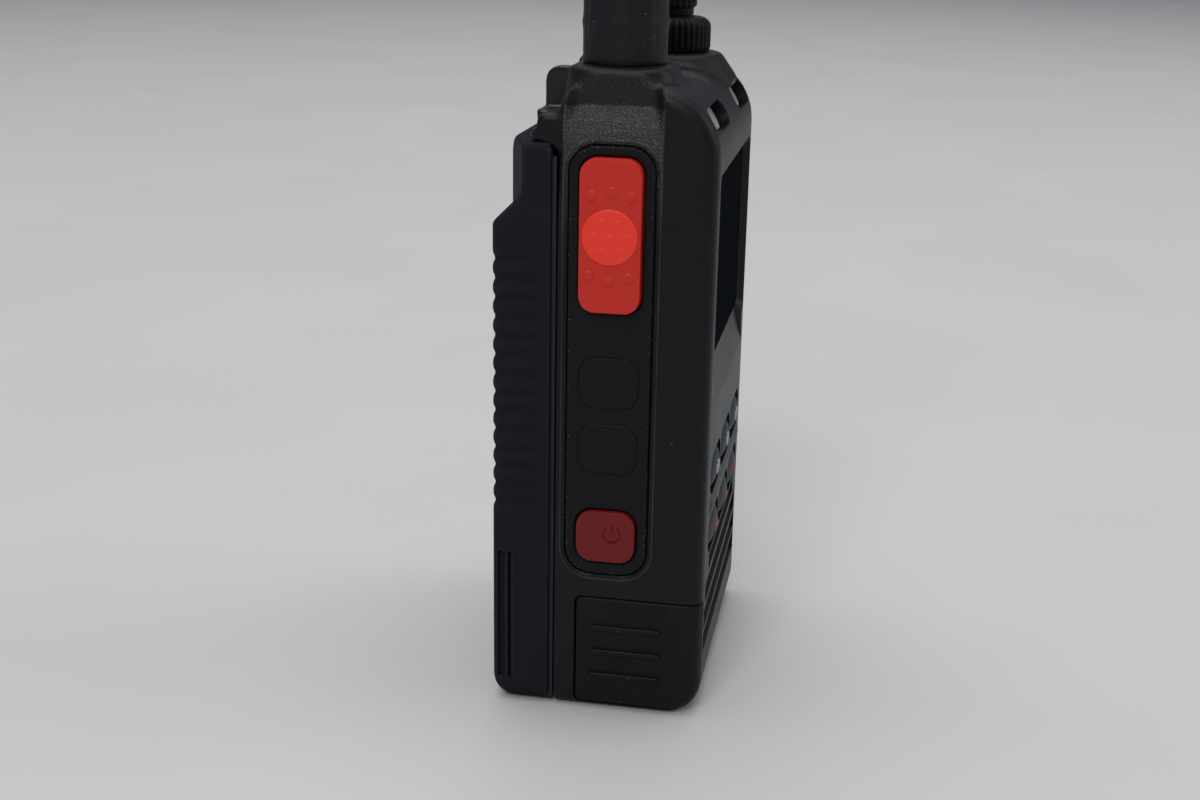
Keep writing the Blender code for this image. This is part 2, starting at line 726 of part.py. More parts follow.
def bezel():
    """A sloped border round the display, cut into the front face."""
    low, high = window_corners()
    shape = block((low[0] - BEZEL_WIDTH, FRONT - OVERSHOOT, low[1] - BEZEL_WIDTH),
                  (high[0] + BEZEL_WIDTH, FRONT + BEZEL_DEPTH, high[1] + BEZEL_WIDTH))
    deep = [vert for vert in shape.verts if vert.co.y > FRONT]
    middle = Vector(((low[0] + high[0]) / 2, 0.0, (low[1] + high[1]) / 2))
    for vert in deep:
        vert.co.x -= math.copysign(BEZEL_WIDTH, vert.co.x - middle.x)
        vert.co.z -= math.copysign(BEZEL_WIDTH, vert.co.z - middle.z)
    return shape


def add_key(shape, x, z, low_y, high_y, margin):
    half = key_width() / 2 + margin
    add_block(shape, (x - half, low_y, z - KEY_HEIGHT / 2 - margin),
              (x + half, high_y, z + KEY_HEIGHT / 2 + margin), 1, KEY_CORNER + margin, 4)


def slot_heights():
    return [keypad_bottom() - SLOT_DROP - index * SLOT_PITCH for index in range(SLOT_COUNT)]


def microphone_place():
    return (RIGHT - SLOT_MARGIN + MICROPHONE_RADIUS + 2 * WALL,
            keypad_bottom() - SPEAKER_DROP - MICROPHONE_RADIUS)


def jack_heights():
    return (JACK_LOW_Z, JACK_LOW_Z + JACK_SPACING)


def tongue_bottom():
    return LEDGE_TOP + LATCH_GAP + LATCH_TONGUE_LIFT


def make_side_keys():
    strip = bmesh.new()
    outer_face = LEFT + STRIP_SINK
    strip_block(strip, outer_face, outer_face + STRIP_THICKNESS, -CLEARANCE)
    strip = part(strip, "key_strip", "black_rubber")
    holes = bmesh.new()
    for key in side_keys():
        key_block(holes, key, LEFT - OVERSHOOT, strip_floor() + OVERSHOOT, CLEARANCE)
    cut(strip, tool(holes, "strip_holes"))

    for key in side_keys():
        name, z, _, _, proud, material = key
        origin = (strip_floor(), STRIP_Y, z)
        shape = bmesh.new()
        key_block(shape, key, LEFT - proud, strip_floor() + CLEARANCE + OVERSHOOT / 2, 0.0)
        button = part(shape, name, material, origin)
        flange = bmesh.new()
        key_block(flange, key, strip_floor() + CLEARANCE,
                  strip_floor() + SIDE_KEY_FLANGE_THICKNESS, SIDE_KEY_FLANGE)
        join(button, tool(flange, f"{name}_flange"))
        post = rod((strip_floor() + CLEARANCE * 2, STRIP_Y, z), (side_key_inner(), STRIP_Y, z),
                   SWITCH_SIZE / 3, segments=16)
        join(button, tool(post, f"{name}_post"))
        if name == "talk_button":
            disc = rod((LEFT - proud - TALK_DISC_RISE, STRIP_Y, z), (LEFT, STRIP_Y, z),
                       TALK_DISC_RADIUS, segments=32)
            join(button, tool(disc, "talk_disc"))
        half = SWITCH_SIZE / 2
        switch = block((switch_face(), STRIP_Y - half, z - half),
                       (switch_face() + SWITCH_DEPTH, STRIP_Y + half, z + half))
        part(switch, f"{name.rsplit('_', 1)[0]}_switch", "steel")

    low_x = switch_face() + SWITCH_DEPTH + CLEARANCE
    board = block((low_x, STRIP_Y - SIDE_BOARD_WIDTH / 2, STRIP_BOTTOM + STRIP_CORNER),
                  (low_x + SIDE_BOARD_THICKNESS, STRIP_Y + SIDE_BOARD_WIDTH / 2,
                   strip_top() - STRIP_CORNER))
    part(board, "side_key_board", "green_board")


def side_board_inner():
    return switch_face() + SWITCH_DEPTH + CLEARANCE + SIDE_BOARD_THICKNESS


def make_jacks():
    cover = part(outer_body(), "jack_cover", "black_rubber", (LEFT - CLEARANCE, COVER_BACK, 0.0))
    piece = block((LEFT - OVERSHOOT, FRONT - OVERSHOOT, COVER_BOTTOM),
                  (cover_inner(), COVER_BACK, COVER_TOP))
    combine(cover, tool(piece, "cover_piece"), "INTERSECT")
    ridges = bmesh.new()
    middle = (COVER_BOTTOM + COVER_TOP) / 2
    for index in range(COVER_RIDGE_COUNT):
        z = middle + (index - (COVER_RIDGE_COUNT - 1) / 2) * COVER_RIDGE_PITCH
        back_end = COVER_BACK - COVER_SOLE - COVER_RIDGE_HEIGHT / 2
        half = COVER_RIDGE_HEIGHT / 2
        add_block(ridges, (LEFT - COVER_RIDGE_RISE, back_end - COVER_RIDGE_LENGTH, z - half),
                  (LEFT + OVERSHOOT, back_end, z + half), 0, COVER_RIDGE_HEIGHT * ROUND_END, 3)
    join(cover, tool(ridges, "cover_ridges"))

    names = ("speaker_jack", "microphone_jack")
    for name, z, bore in zip(names, jack_heights(), (JACK_LARGE_BORE, JACK_SMALL_BORE)):
        start = cover_inner() + 2 * CLEARANCE
        jack = part(rod((start, JACK_Y, z), (start + JACK_LENGTH, JACK_Y, z), JACK_RADIUS, segments=20),
                    name, "steel")
        hole = rod((start - OVERSHOOT, JACK_Y, z), (start + JACK_LENGTH - WALL, JACK_Y, z), bore,
                   segments=16)
        cut(jack, tool(hole, f"{name}_bore"))


def make_front():
    low, high = window_corners()
    window_front = FRONT + DISPLAY_SINK
    window_back = window_front + WINDOW_THICKNESS
    window = block((low[0], window_front, low[1]), (high[0], window_back, high[1]))
    part(window, "display_window", "black_glass")
    module_front = max(window_back, INNER_FRONT) + CLEARANCE
    module_back = module_front + MODULE_THICKNESS
    module = block((low[0] - MODULE_LAP, module_front, low[1] - MODULE_LAP),
                   (high[0] + MODULE_LAP, module_back, high[1] + MODULE_LAP))
    part(module, "display_module", "steel")

    board_front = module_back + CLEARANCE
    board = block((INNER_LEFT + BOARD_MARGIN, board_front, keypad_bottom()),
                  (INNER_RIGHT - BOARD_MARGIN, board_front + BOARD_THICKNESS, high[1] + MODULE_LAP))
    part(board, "front_board", "green_board")

    mat_back = board_front - CLEARANCE
    mat_half = BODY_WIDTH / 2 - KEY_MARGIN
    mat_top = UPPER_ROW_Z + KEY_HEIGHT / 2 + KEY_FLANGE
    mat = block((-mat_half, mat_back - MAT_THICKNESS, keypad_bottom()), (mat_half, mat_back, mat_top))
    part(mat, "keypad_mat", "grey_silicone")

    flange_front = INNER_FRONT + CLEARANCE
    flange_back = flange_front + KEY_FLANGE_THICKNESS
    key_end = mat_back - MAT_THICKNESS - KEY_TRAVEL - CLEARANCE / 2
    for name, x, z in key_places():
        shape = bmesh.new()
        add_key(shape, x, z, FRONT - KEY_PROUD, flange_front + OVERSHOOT / 2, 0.0)
        face = [edge for edge in shape.edges if at(edge, 1, FRONT - KEY_PROUD)]
        round_edges(shape, face, KEY_PROUD * KEY_EDGE_SHARE, 2)
        key = part(shape, name, "grey_silicone", (x, INNER_FRONT, z))
        flange = bmesh.new()
        add_key(flange, x, z, flange_front, flange_back, KEY_FLANGE)
        join(key, tool(flange, f"{name}_flange"))
        post = rod((x, flange_front + OVERSHOOT / 2, z), (x, key_end, z), KEY_HEIGHT / 4, segments=12)
        join(key, tool(post, f"{name}_post"))

    z = speaker_z()
    mesh_front = INNER_FRONT + CLEARANCE
    mesh = rod((0.0, mesh_front, z), (0.0, mesh_front + MESH_THICKNESS, z),
               SPEAKER_RADIUS + SPEAKER_DROP / 2, segments=32)
    part(mesh, "speaker_mesh", "black_rubber")
    speaker_front = mesh_front + MESH_THICKNESS + CLEARANCE
    speaker = rod((0.0, speaker_front, z), (0.0, speaker_front + SPEAKER_DEPTH / 2, z), SPEAKER_RADIUS,
                  segments=32)
    speaker = part(speaker, "speaker", "steel")
    magnet = rod((0.0, speaker_front + SPEAKER_DEPTH / 4, z), (0.0, speaker_front + SPEAKER_DEPTH, z),
                 SPEAKER_RADIUS * MAGNET_SHARE, segments=24)
    join(speaker, tool(magnet, "speaker_magnet"))

    x, z = microphone_place()
    microphone = rod((x, mesh_front, z), (x, mesh_front + MICROPHONE_DEPTH, z), MICROPHONE_RADIUS,
                     segments=16)
    part(microphone, "microphone", "steel")

    for side, name in ((-1, "left"), (1, "right")):
        lens = bmesh.new()
        add_lens(lens, side, lens_inner(), TOP_FRONT_RADIUS - LENS_SINK, 0.0)
        part(lens, f"status_lens_{name}", "pale_lens")


def make_antenna():
    base = COLLAR_TOP + CLEARANCE
    top = base + ANTENNA_LENGTH
    bore = ROD_RADIUS + CLEARANCE
    rod_top = top - ROD_COVER
    turns = [math.pi / 2 * step / ANTENNA_TIP_STEPS for step in range(ANTENNA_TIP_STEPS + 1)]
    arc = [(ANTENNA_TIP_RADIUS * math.sin(turn), top - ANTENNA_TIP_RADIUS * (1.0 - math.cos(turn)))
           for turn in turns]
    grip = base + ANTENNA_GRIP_HEIGHT
    swell = ANTENNA_RADIUS + ANTENNA_GRIP_RISE
    profile = arc + [
        (ANTENNA_RADIUS, grip + ANTENNA_RADIUS * 2),
        (ANTENNA_RADIUS, grip),
        (swell, grip - ANTENNA_GRIP_HEIGHT / 8),
        (swell, grip - ANTENNA_GRIP_HEIGHT / 4),
        (ANTENNA_RADIUS, grip - ANTENNA_GRIP_HEIGHT / 3),
        (ANTENNA_RADIUS, base),
        (bore, base),
        (bore, rod_top + CLEARANCE),
        (0.0, rod_top + CLEARANCE),
    ]
    turned("antenna_sleeve", profile, (ANTENNA_X, ANTENNA_Y), "black_rubber")
    socket_bottom = COLLAR_TOP - SOCKET_DEPTH
    radiator = rod((ANTENNA_X, ANTENNA_Y, socket_bottom), (ANTENNA_X, ANTENNA_Y, rod_top), ROD_RADIUS,
                   segments=20)
    part(radiator, "antenna_rod", "brass", (ANTENNA_X, ANTENNA_Y, base))
    ring = [(socket_radius(), COLLAR_TOP - CLEARANCE), (socket_radius(), socket_bottom),
            (bore, socket_bottom), (bore, COLLAR_TOP - CLEARANCE)]
    turned("antenna_socket", ring, (ANTENNA_X, ANTENNA_Y), "brass", closed=True, steps=24)


def make_knobs():
    centre = (KNOB_X, KNOB_Y)
    base = MOUND_TOP + CLEARANCE
    top = base + RING_HEIGHT
    tube_top = base + RING_HEIGHT / 2
    wide = tube_radius() + CLEARANCE
    narrow = VOLUME_SHAFT_RADIUS + CLEARANCE
    edge = VOLUME_RADIUS + 2 * CLEARANCE
    profile = [
        (narrow, top), (edge, top), (RING_RADIUS, top - RING_SHOULDER), (RING_RADIUS, base),
        (wide, base), (wide, tube_top + CLEARANCE), (narrow, tube_top + CLEARANCE),
    ]
    ring = turned("channel_ring", profile, centre, "black_rubber", closed=True, steps=48)
    ribs = bmesh.new()
    for index in range(RING_RIBS):
        angle = math.tau * index / RING_RIBS
        x = KNOB_X + RING_RADIUS * math.cos(angle)
        y = KNOB_Y + RING_RADIUS * math.sin(angle)
        add_rod(ribs, (x, y, base - OVERSHOOT), (x, y, top - RING_SHOULDER / 2), RING_RIB_RADIUS,
                segments=6)
    cut(ring, tool(ribs, "ring_grooves"))

    knob_base = top + CLEARANCE
    knob_top = knob_base + VOLUME_HEIGHT
    shaft_top = knob_top - VOLUME_HEIGHT / 3
    neck = VOLUME_RADIUS - VOLUME_NECK
    profile = [
        (0.0, knob_top), (neck, knob_top), (VOLUME_RADIUS, knob_top - VOLUME_NECK),
        (VOLUME_RADIUS, knob_base + 3 * VOLUME_NECK), (neck, knob_base + 2 * VOLUME_NECK),
        (neck, knob_base), (narrow, knob_base), (narrow, shaft_top + CLEARANCE),
        (0.0, shaft_top + CLEARANCE),
    ]
    turned("volume_knob", profile, centre, "black_rubber", steps=32)

    encoder_top = room_ceiling(KNOB_Y - ENCODER_DEPTH / 2) - CLEARANCE
    encoder_bottom = encoder_top - ENCODER_HEIGHT
    tube_bottom = encoder_bottom + ENCODER_HEIGHT / 2
    shaft_bottom = encoder_bottom + ENCODER_HEIGHT / 4
    tube = [(tube_radius(), tube_top), (tube_radius(), tube_bottom),
            (narrow, tube_bottom), (narrow, tube_top)]
    turned("channel_shaft", tube, centre, "steel", closed=True, steps=24)
    shaft = rod((*centre, shaft_bottom), (*centre, shaft_top), VOLUME_SHAFT_RADIUS, segments=20)
    part(shaft, "volume_shaft", "steel", (*centre, shaft_bottom))

    encoder = block((KNOB_X - ENCODER_WIDTH / 2, KNOB_Y - ENCODER_DEPTH / 2, encoder_bottom),
                    (KNOB_X + ENCODER_WIDTH / 2, KNOB_Y + ENCODER_DEPTH / 2, encoder_top))
    encoder = part(encoder, "knob_encoder", "steel")
    bush = rod((*centre, encoder_top - OVERSHOOT), (*centre, MOUND_TOP - CLEARANCE), bush_radius())
    join(encoder, tool(bush, "encoder_bush"))
    cut(encoder, tool(rod((*centre, tube_bottom - CLEARANCE), (*centre, MOUND_TOP + OVERSHOOT), wide),
                      "tube_bore"))
    cut(encoder, tool(rod((*centre, shaft_bottom - CLEARANCE), (*centre, tube_bottom), narrow, segments=20),
                      "shaft_bore"))


def make_chassis():
    low, high = opening()
    edge = GASKET_WIDTH + 2 * CLEARANCE
    plate = part(block((low[0] + edge, CHASSIS_FRONT, low[1] + edge),
                       (high[0] - edge, CHASSIS_BACK, high[1] - edge)), "chassis", "die_cast_aluminium")

    rib_low = side_board_inner() + CLEARANCE
    rib = block((rib_low, STRIP_Y - SIDE_BOARD_WIDTH / 2, MAIN_BOARD_BOTTOM + STANDOFF_INSET),
                (rib_low + CHASSIS_RIB, CHASSIS_FRONT + CHASSIS_THICKNESS / 2,
                 high[1] - edge - CHASSIS_RIB_INSET))
    join(plate, tool(rib, "side_board_rib"))

    board_back = CHASSIS_FRONT - STANDOFF_HEIGHT - CLEARANCE
    board_left = rib_low + CHASSIS_RIB + CLEARANCE
    board_right = high[0] - edge - CLEARANCE
    board_top = high[1] - edge - MAIN_BOARD_GAP
    board = block((board_left, board_back - BOARD_THICKNESS, MAIN_BOARD_BOTTOM),
                  (board_right, board_back, board_top))
    part(board, "main_board", "green_board")
    posts = bmesh.new()
    for x in (board_left + STANDOFF_INSET, board_right - STANDOFF_INSET):
        for z in (MAIN_BOARD_BOTTOM + STANDOFF_INSET, board_top - STANDOFF_INSET):
            add_rod(posts, (x, CHASSIS_FRONT - STANDOFF_HEIGHT, z), (x, CHASSIS_FRONT + OVERSHOOT, z),
                    STANDOFF_RADIUS, segments=16)
    join(plate, tool(posts, "board_standoffs"))

    can_back = board_back - BOARD_THICKNESS - CLEARANCE
    can_low = (board_left + SHIELD_INSET, can_back - SHIELD_HEIGHT, MAIN_BOARD_BOTTOM + SHIELD_INSET)
    can_high = (board_right - SHIELD_INSET, can_back, board_top - SHIELD_INSET)
    can = part(block(can_low, can_high), "board_shield", "steel")
    inside = block((can_low[0] + SHIELD_WALL, can_low[1] + SHIELD_WALL, can_low[2] + SHIELD_WALL),
                   (can_high[0] - SHIELD_WALL, can_back + OVERSHOOT, can_high[2] - SHIELD_WALL))
    cut(can, tool(inside, "shield_room"))

    gasket = part(block((low[0] + CLEARANCE, CHASSIS_FRONT, low[1] + CLEARANCE),
                        (high[0] - CLEARANCE, CHASSIS_FRONT + GASKET_DEPTH, high[1] - CLEARANCE)),
                  "chassis_gasket", "black_rubber")
    inner = edge - CLEARANCE
    cut(gasket, tool(block((low[0] + inner, CHASSIS_FRONT - OVERSHOOT, low[1] + inner),
                           (high[0] - inner, CHASSIS_BACK + OVERSHOOT, high[1] - inner)), "gasket_inside"))

    block_back = CHASSIS_BACK - CLEARANCE
    half = (CONTACT_COUNT - 1) / 2 * CONTACT_PITCH + CONTACT_EDGE
    low_z = CONTACT_Z - CONTACT_BLOCK_HEIGHT / 2
    high_z = CONTACT_Z + CONTACT_BLOCK_HEIGHT / 2
    holder = part(block((-half, block_back - CONTACT_BLOCK_DEPTH, low_z), (half, block_back, high_z)),
                  "contact_block", "black_abs")
    holes = bmesh.new()
    pin_front = CHASSIS_BACK - CONTACT_LENGTH
    for index, x in enumerate(contact_places(), start=1):
        pin = rod((x, pin_front, CONTACT_Z), (x, CHASSIS_BACK, CONTACT_Z), CONTACT_RADIUS, segments=14)
        part(pin, f"contact_pin_{index}", "gold_plate")
        add_rod(holes, (x, pin_front - CLEARANCE, CONTACT_Z), (x, CHASSIS_BACK + OVERSHOOT, CONTACT_Z),
                CONTACT_RADIUS + CLEARANCE, segments=14)
    cut(holder, tool(holes, "contact_holes"))

    openings = bmesh.new()
    add_block(openings, (-half - CLEARANCE, CHASSIS_FRONT - OVERSHOOT, low_z - CLEARANCE),
              (half + CLEARANCE, CHASSIS_BACK + OVERSHOOT, high_z + CLEARANCE))
    head_front = CHASSIS_BACK - CLEARANCE - SCREW_HEAD_HEIGHT
    for index, x in enumerate(screw_places(), start=1):
        add_rod(openings, (x, head_front - CLEARANCE, SCREW_Z), (x, CHASSIS_BACK + OVERSHOOT, SCREW_Z),
                SCREW_HEAD_RADIUS + CLEARANCE, segments=16)
        screw = part(rod((x, head_front, SCREW_Z), (x, head_front + SCREW_HEAD_HEIGHT, SCREW_Z),
                         SCREW_HEAD_RADIUS, segments=16), f"chassis_screw_{index}", "steel")
        shank_front = BOSS_BACK - SCREW_LENGTH + CLEARANCE
        shank = rod((x, shank_front, SCREW_Z), (x, head_front + CLEARANCE, SCREW_Z), SCREW_RADIUS,
                    segments=12)
        join(screw, tool(shank, f"screw_shank_{index}"))
    cut(plate, tool(openings, "chassis_openings"))
    shanks = bmesh.new()
    for x in screw_places():
        add_rod(shanks, (x, CHASSIS_FRONT - OVERSHOOT, SCREW_Z), (x, head_front, SCREW_Z),
                SCREW_RADIUS + CLEARANCE, segments=12)
    cut(plate, tool(shanks, "shank_holes"))


def contact_places():
    return [(index - (CONTACT_COUNT - 1) / 2) * CONTACT_PITCH for index in range(CONTACT_COUNT)]


def make_battery():
    shape = block((LEFT, BATTERY_FRONT, BATTERY_FOOT), (RIGHT, BATTERY_BACK, BATTERY_TOP))
    for z, radius in ((BATTERY_FOOT, BATTERY_LOW_RADIUS), (BATTERY_TOP, BATTERY_TOP_RADIUS)):
        edges = [edge for edge in shape.edges
                 if along(edge, 0) and at(edge, 1, BATTERY_BACK) and at(edge, 2, z)]
        round_edges(shape, edges, radius, 4)
    outline = [edge for edge in shape.edges
               if (at(edge, 0, LEFT) or at(edge, 0, RIGHT)) and not at(edge, 1, BATTERY_FRONT)]
    round_edges(shape, outline, BATTERY_SIDE_RADIUS, 3)
    case = part(shape, "battery_case", "black_abs", (0.0, BATTERY_FRONT, BATTERY_FOOT))

    room_top = BATTERY_TOP - BATTERY_HEAD
    room_low = (LEFT + BATTERY_WALL, BATTERY_FRONT - OVERSHOOT, BATTERY_FOOT + BATTERY_WALL)
    room_high = (RIGHT - BATTERY_WALL, BATTERY_BACK - BATTERY_WALL, room_top)
    shape = block(room_low, room_high)
    corner = [edge for edge in shape.edges
              if along(edge, 0) and at(edge, 1, room_high[1]) and at(edge, 2, room_low[2])]
    round_edges(shape, corner, BATTERY_LOW_RADIUS - BATTERY_WALL, 3)
    cut(case, tool(shape, "battery_room"))

    scoops = bmesh.new()
    scoop_bottom = BATTERY_TOP - SCOOP_DROP
    for side in (-1, 1):
        outer = side * (BODY_WIDTH / 2 + OVERSHOOT)
        inner = side * (BODY_WIDTH / 2 - SCOOP_WIDTH)
        high_z = BATTERY_TOP + OVERSHOOT
        deep_y = BATTERY_BACK - SCOOP_DEPTH
        over_y = BATTERY_BACK + OVERSHOOT
        low_ends = [scoops.verts.new(place) for place in (
            (outer, deep_y, scoop_bottom + SCOOP_DEPTH), (outer, over_y, scoop_bottom - OVERSHOOT),
            (inner, over_y, scoop_bottom - OVERSHOOT), (inner, BATTERY_BACK, scoop_bottom))]
        high_ends = [scoops.verts.new((vert.co.x, vert.co.y, high_z)) for vert in low_ends]
        hull_faces(scoops, low_ends, high_ends)
    cut(case, tool(scoops, "finger_scoops"))

    grips = bmesh.new()
    pitch = (BATTERY_TOP - GRIP_DROP - GRIP_BOTTOM) / (GRIP_COUNT - 1)
    arc_radius = (GRIP_DEPTH ** 2 + (pitch * GRIP_SHARE / 2) ** 2) / (2 * GRIP_DEPTH)
    for side in (-1, 1):
        x = side * (BODY_WIDTH / 2 - GRIP_DEPTH + arc_radius)
        for index in range(GRIP_COUNT):
            z = GRIP_BOTTOM + index * pitch
            add_rod(grips, (x, BATTERY_FRONT + GRIP_FRONT_MARGIN, z), (x, BATTERY_BACK + OVERSHOOT, z),
                    arc_radius, segments=16)
    cut(case, tool(grips, "grip_scallops"))

    rails = bmesh.new()
    for side in (-1, 1):
        outer = side * (BODY_WIDTH / 2 + OVERSHOOT)
        inner = side * (BODY_WIDTH / 2 - RAIL_DEPTH)
        for step in range(2):
            back_y = BATTERY_BACK - RAIL_BACK_MARGIN - step * (RAIL_SLOT + RAIL_RIB)
            add_block(rails, (min(outer, inner), back_y - RAIL_SLOT, RAIL_BOTTOM),
                      (max(outer, inner), back_y, RAIL_TOP))
    cut(case, tool(rails, "charging_rails"))

    lid_low = (room_low[0] + CLEARANCE, BATTERY_FRONT, room_low[2] + CLEARANCE)
    lid_back = BATTERY_FRONT + LID_THICKNESS
    lid = part(block(lid_low, (room_high[0] - CLEARANCE, lid_back, room_top - CLEARANCE)),
               "battery_lid", "black_abs")
    pockets = bmesh.new()
    for index, x in enumerate(contact_places(), start=1):
        half_x = TERMINAL_WIDTH / 2
        half_z = TERMINAL_LENGTH / 2
        plate = block((x - half_x, BATTERY_FRONT, CONTACT_Z - half_z),
                      (x + half_x, BATTERY_FRONT + TERMINAL_THICKNESS, CONTACT_Z + half_z))
        part(plate, f"battery_terminal_{index}", "gold_plate")
        half_x += CLEARANCE
        half_z += CLEARANCE
        add_block(pockets, (x - half_x, BATTERY_FRONT - OVERSHOOT, CONTACT_Z - half_z),
                  (x + half_x, BATTERY_FRONT + TERMINAL_THICKNESS + CLEARANCE, CONTACT_Z + half_z))
    cut(lid, tool(pockets, "terminal_pockets"))

    cell_front = lid_back + CLEARANCE
    cell_back = room_high[1] - CLEARANCE
    cell_bottom = room_low[2] + BATTERY_LOW_RADIUS - BATTERY_WALL
    for side, name in ((-1, "left"), (1, "right")):
        near = side * CLEARANCE
        far = side * (room_high[0] - CLEARANCE)
        cell = block((min(near, far), cell_front, cell_bottom),
                     (max(near, far), cell_back, cell_bottom + CELL_LENGTH),
                     2, (cell_back - cell_front) * CELL_CORNER_SHARE, 3)
        part(cell, f"battery_cell_{name}", "cell_wrap")
    board = block((room_low[0] + CLEARANCE, cell_front, cell_bottom + CELL_LENGTH + CLEARANCE),
                  (room_high[0] - CLEARANCE, cell_front + BOARD_THICKNESS, room_top - CLEARANCE))
    part(board, "protection_board", "green_board")


def make_latch():
    bottom = LEDGE_TOP + LATCH_GAP
    top = bottom + LATCH_HEIGHT
    front = BACK + CLEARANCE
    latch_back = front + LATCH_DEPTH
    shape = block((-LATCH_WIDTH / 2, front, bottom), (LATCH_WIDTH / 2, latch_back, top))
    edges = [edge for edge in shape.edges
             if along(edge, 0) and at(edge, 1, latch_back) and at(edge, 2, top)]
    round_edges(shape, edges, LATCH_CORNER, 5)
    latch = part(shape, "battery_latch", "black_abs", (0.0, front, bottom))
    foot = block((-LATCH_FOOT_WIDTH / 2, front, bottom),
                 (LATCH_FOOT_WIDTH / 2, latch_back + LATCH_FOOT_REACH, bottom + LATCH_FOOT_HEIGHT))
    join(latch, tool(foot, "latch_foot"))
    dish_half = LATCH_WIDTH / 2 - LATCH_END_WALL
    dish = block((-dish_half, front - OVERSHOOT, top - LATCH_DISH),
                 (dish_half, latch_back + OVERSHOOT, top + LATCH_DISH), 1, LATCH_DISH * ROUND_END, 4)
    cut(latch, tool(dish, "latch_dish"))
    tongue = block((-LATCH_TONGUE_WIDTH / 2, HEAD_BACK, tongue_bottom()),
                   (LATCH_TONGUE_WIDTH / 2, front + OVERSHOOT, tongue_bottom() + LATCH_TONGUE_HEIGHT))
    join(latch, tool(tongue, "latch_tongue"))
    pockets = bmesh.new()
    spring_y = front + LATCH_DEPTH / 2
    spring_bottom = LEDGE_TOP + CLEARANCE
    spring_top = spring_bottom + SPRING_LENGTH
    for side, name in ((-1, "left"), (1, "right")):
        x = side * SPRING_SPREAD
        add_rod(pockets, (x, spring_y, bottom - OVERSHOOT), (x, spring_y, spring_top + CLEARANCE),
                SPRING_RADIUS + SPRING_WIRE + CLEARANCE, segments=16)
        make_spring(f"latch_spring_{name}", (x, spring_y, spring_bottom))
    cut(latch, tool(pockets, "spring_pockets"))


def make_spring(name, foot):
    steps = SPRING_TURNS * 10
    rise = SPRING_LENGTH - 2 * SPRING_WIRE
    line = bpy.data.curves.new(name, "CURVE")
    line.dimensions = "3D"
    line.bevel_depth = SPRING_WIRE
    line.bevel_resolution = 1
    line.use_fill_caps = True
    spline = line.splines.new("POLY")
    spline.points.add(steps)
    for index, point in enumerate(spline.points):
        angle = math.tau * SPRING_TURNS * index / steps
        point.co = (SPRING_RADIUS * math.cos(angle), SPRING_RADIUS * math.sin(angle),
                    SPRING_WIRE + rise * index / steps, 1.0)
    spring = bpy.data.objects.new(name, line)
    spring.location = foot
    line.materials.append(finish("steel"))
    PARTS.objects.link(spring)


clear_scene()
PARTS = new_collection("two_way_radio")
TOOLS = new_collection("cutters")
make_housing()
make_side_keys()
make_jacks()
make_front()
make_antenna()
make_knobs()
make_chassis()
make_battery()
make_latch()
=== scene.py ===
import functools
import json
import math

import bmesh
import bpy
from mathutils import Matrix, Vector


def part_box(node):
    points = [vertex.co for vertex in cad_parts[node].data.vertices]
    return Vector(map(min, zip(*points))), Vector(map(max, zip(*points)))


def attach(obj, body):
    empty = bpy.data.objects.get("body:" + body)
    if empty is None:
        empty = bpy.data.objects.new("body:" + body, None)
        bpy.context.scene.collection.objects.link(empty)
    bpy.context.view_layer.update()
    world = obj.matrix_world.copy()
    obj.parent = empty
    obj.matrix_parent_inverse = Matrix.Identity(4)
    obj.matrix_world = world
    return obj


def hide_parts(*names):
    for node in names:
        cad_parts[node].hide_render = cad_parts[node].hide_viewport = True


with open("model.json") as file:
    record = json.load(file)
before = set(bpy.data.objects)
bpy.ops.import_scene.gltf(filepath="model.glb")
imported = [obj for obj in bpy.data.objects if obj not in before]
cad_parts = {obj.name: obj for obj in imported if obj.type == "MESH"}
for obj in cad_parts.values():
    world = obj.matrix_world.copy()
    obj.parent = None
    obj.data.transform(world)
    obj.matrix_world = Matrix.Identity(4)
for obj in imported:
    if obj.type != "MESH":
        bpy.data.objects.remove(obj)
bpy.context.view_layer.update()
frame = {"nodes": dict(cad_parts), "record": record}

mm = 0.001
touch = 0.01 * mm  # places closer than this count as one
weld = 0.002 * mm
fullRound = 0.98  # a corner of a whole half height would meet its neighbour


# Small helpers

def hexColour(code):
    channels = [int(code[i:i + 2], 16) / 255 for i in (1, 3, 5)]
    linear = [c / 12.92 if c <= 0.04045 else ((c + 0.055) / 1.055) ** 2.4 for c in channels]
    return (*linear, 1.0)


def setNode(node, values, links):
    # a link names an output, or a node whose first output is meant
    for socket, value in values.items():
        node.inputs[socket].default_value = value
    for socket, source in links.items():
        source = source.outputs[0] if isinstance(source, bpy.types.Node) else source
        node.id_data.links.new(source, node.inputs[socket])
    return node


def addNode(tree, kind, values, links, **settings):
    node = tree.nodes.new("ShaderNode" + kind)
    for name, value in settings.items():
        setattr(node, name, value)
    return setNode(node, values, links)


def startMaterial(name):
    # the material, its shader, a way to add nodes to it, and the place on the piece
    material = bpy.data.materials.new(name)
    material.use_nodes = True
    tree = material.node_tree
    add = functools.partial(addNode, tree)
    return material, tree.nodes["Principled BSDF"], add, add("TexCoord", {}, {}).outputs["Object"]


def newPiece(name, shape):
    mesh = bpy.data.meshes.new(name)
    shape.to_mesh(mesh)
    shape.free()
    piece = bpy.data.objects.new(name, mesh)
    bpy.context.scene.collection.objects.link(piece)
    return piece


def bake(piece):
    # the modifiers become the mesh, so the piece is plain geometry
    graph = bpy.context.evaluated_depsgraph_get()
    mesh = bpy.data.meshes.new_from_object(piece.evaluated_get(graph))
    old = piece.data
    piece.modifiers.clear()
    piece.data = mesh
    mesh.name = piece.name
    bpy.data.meshes.remove(old)
    return piece


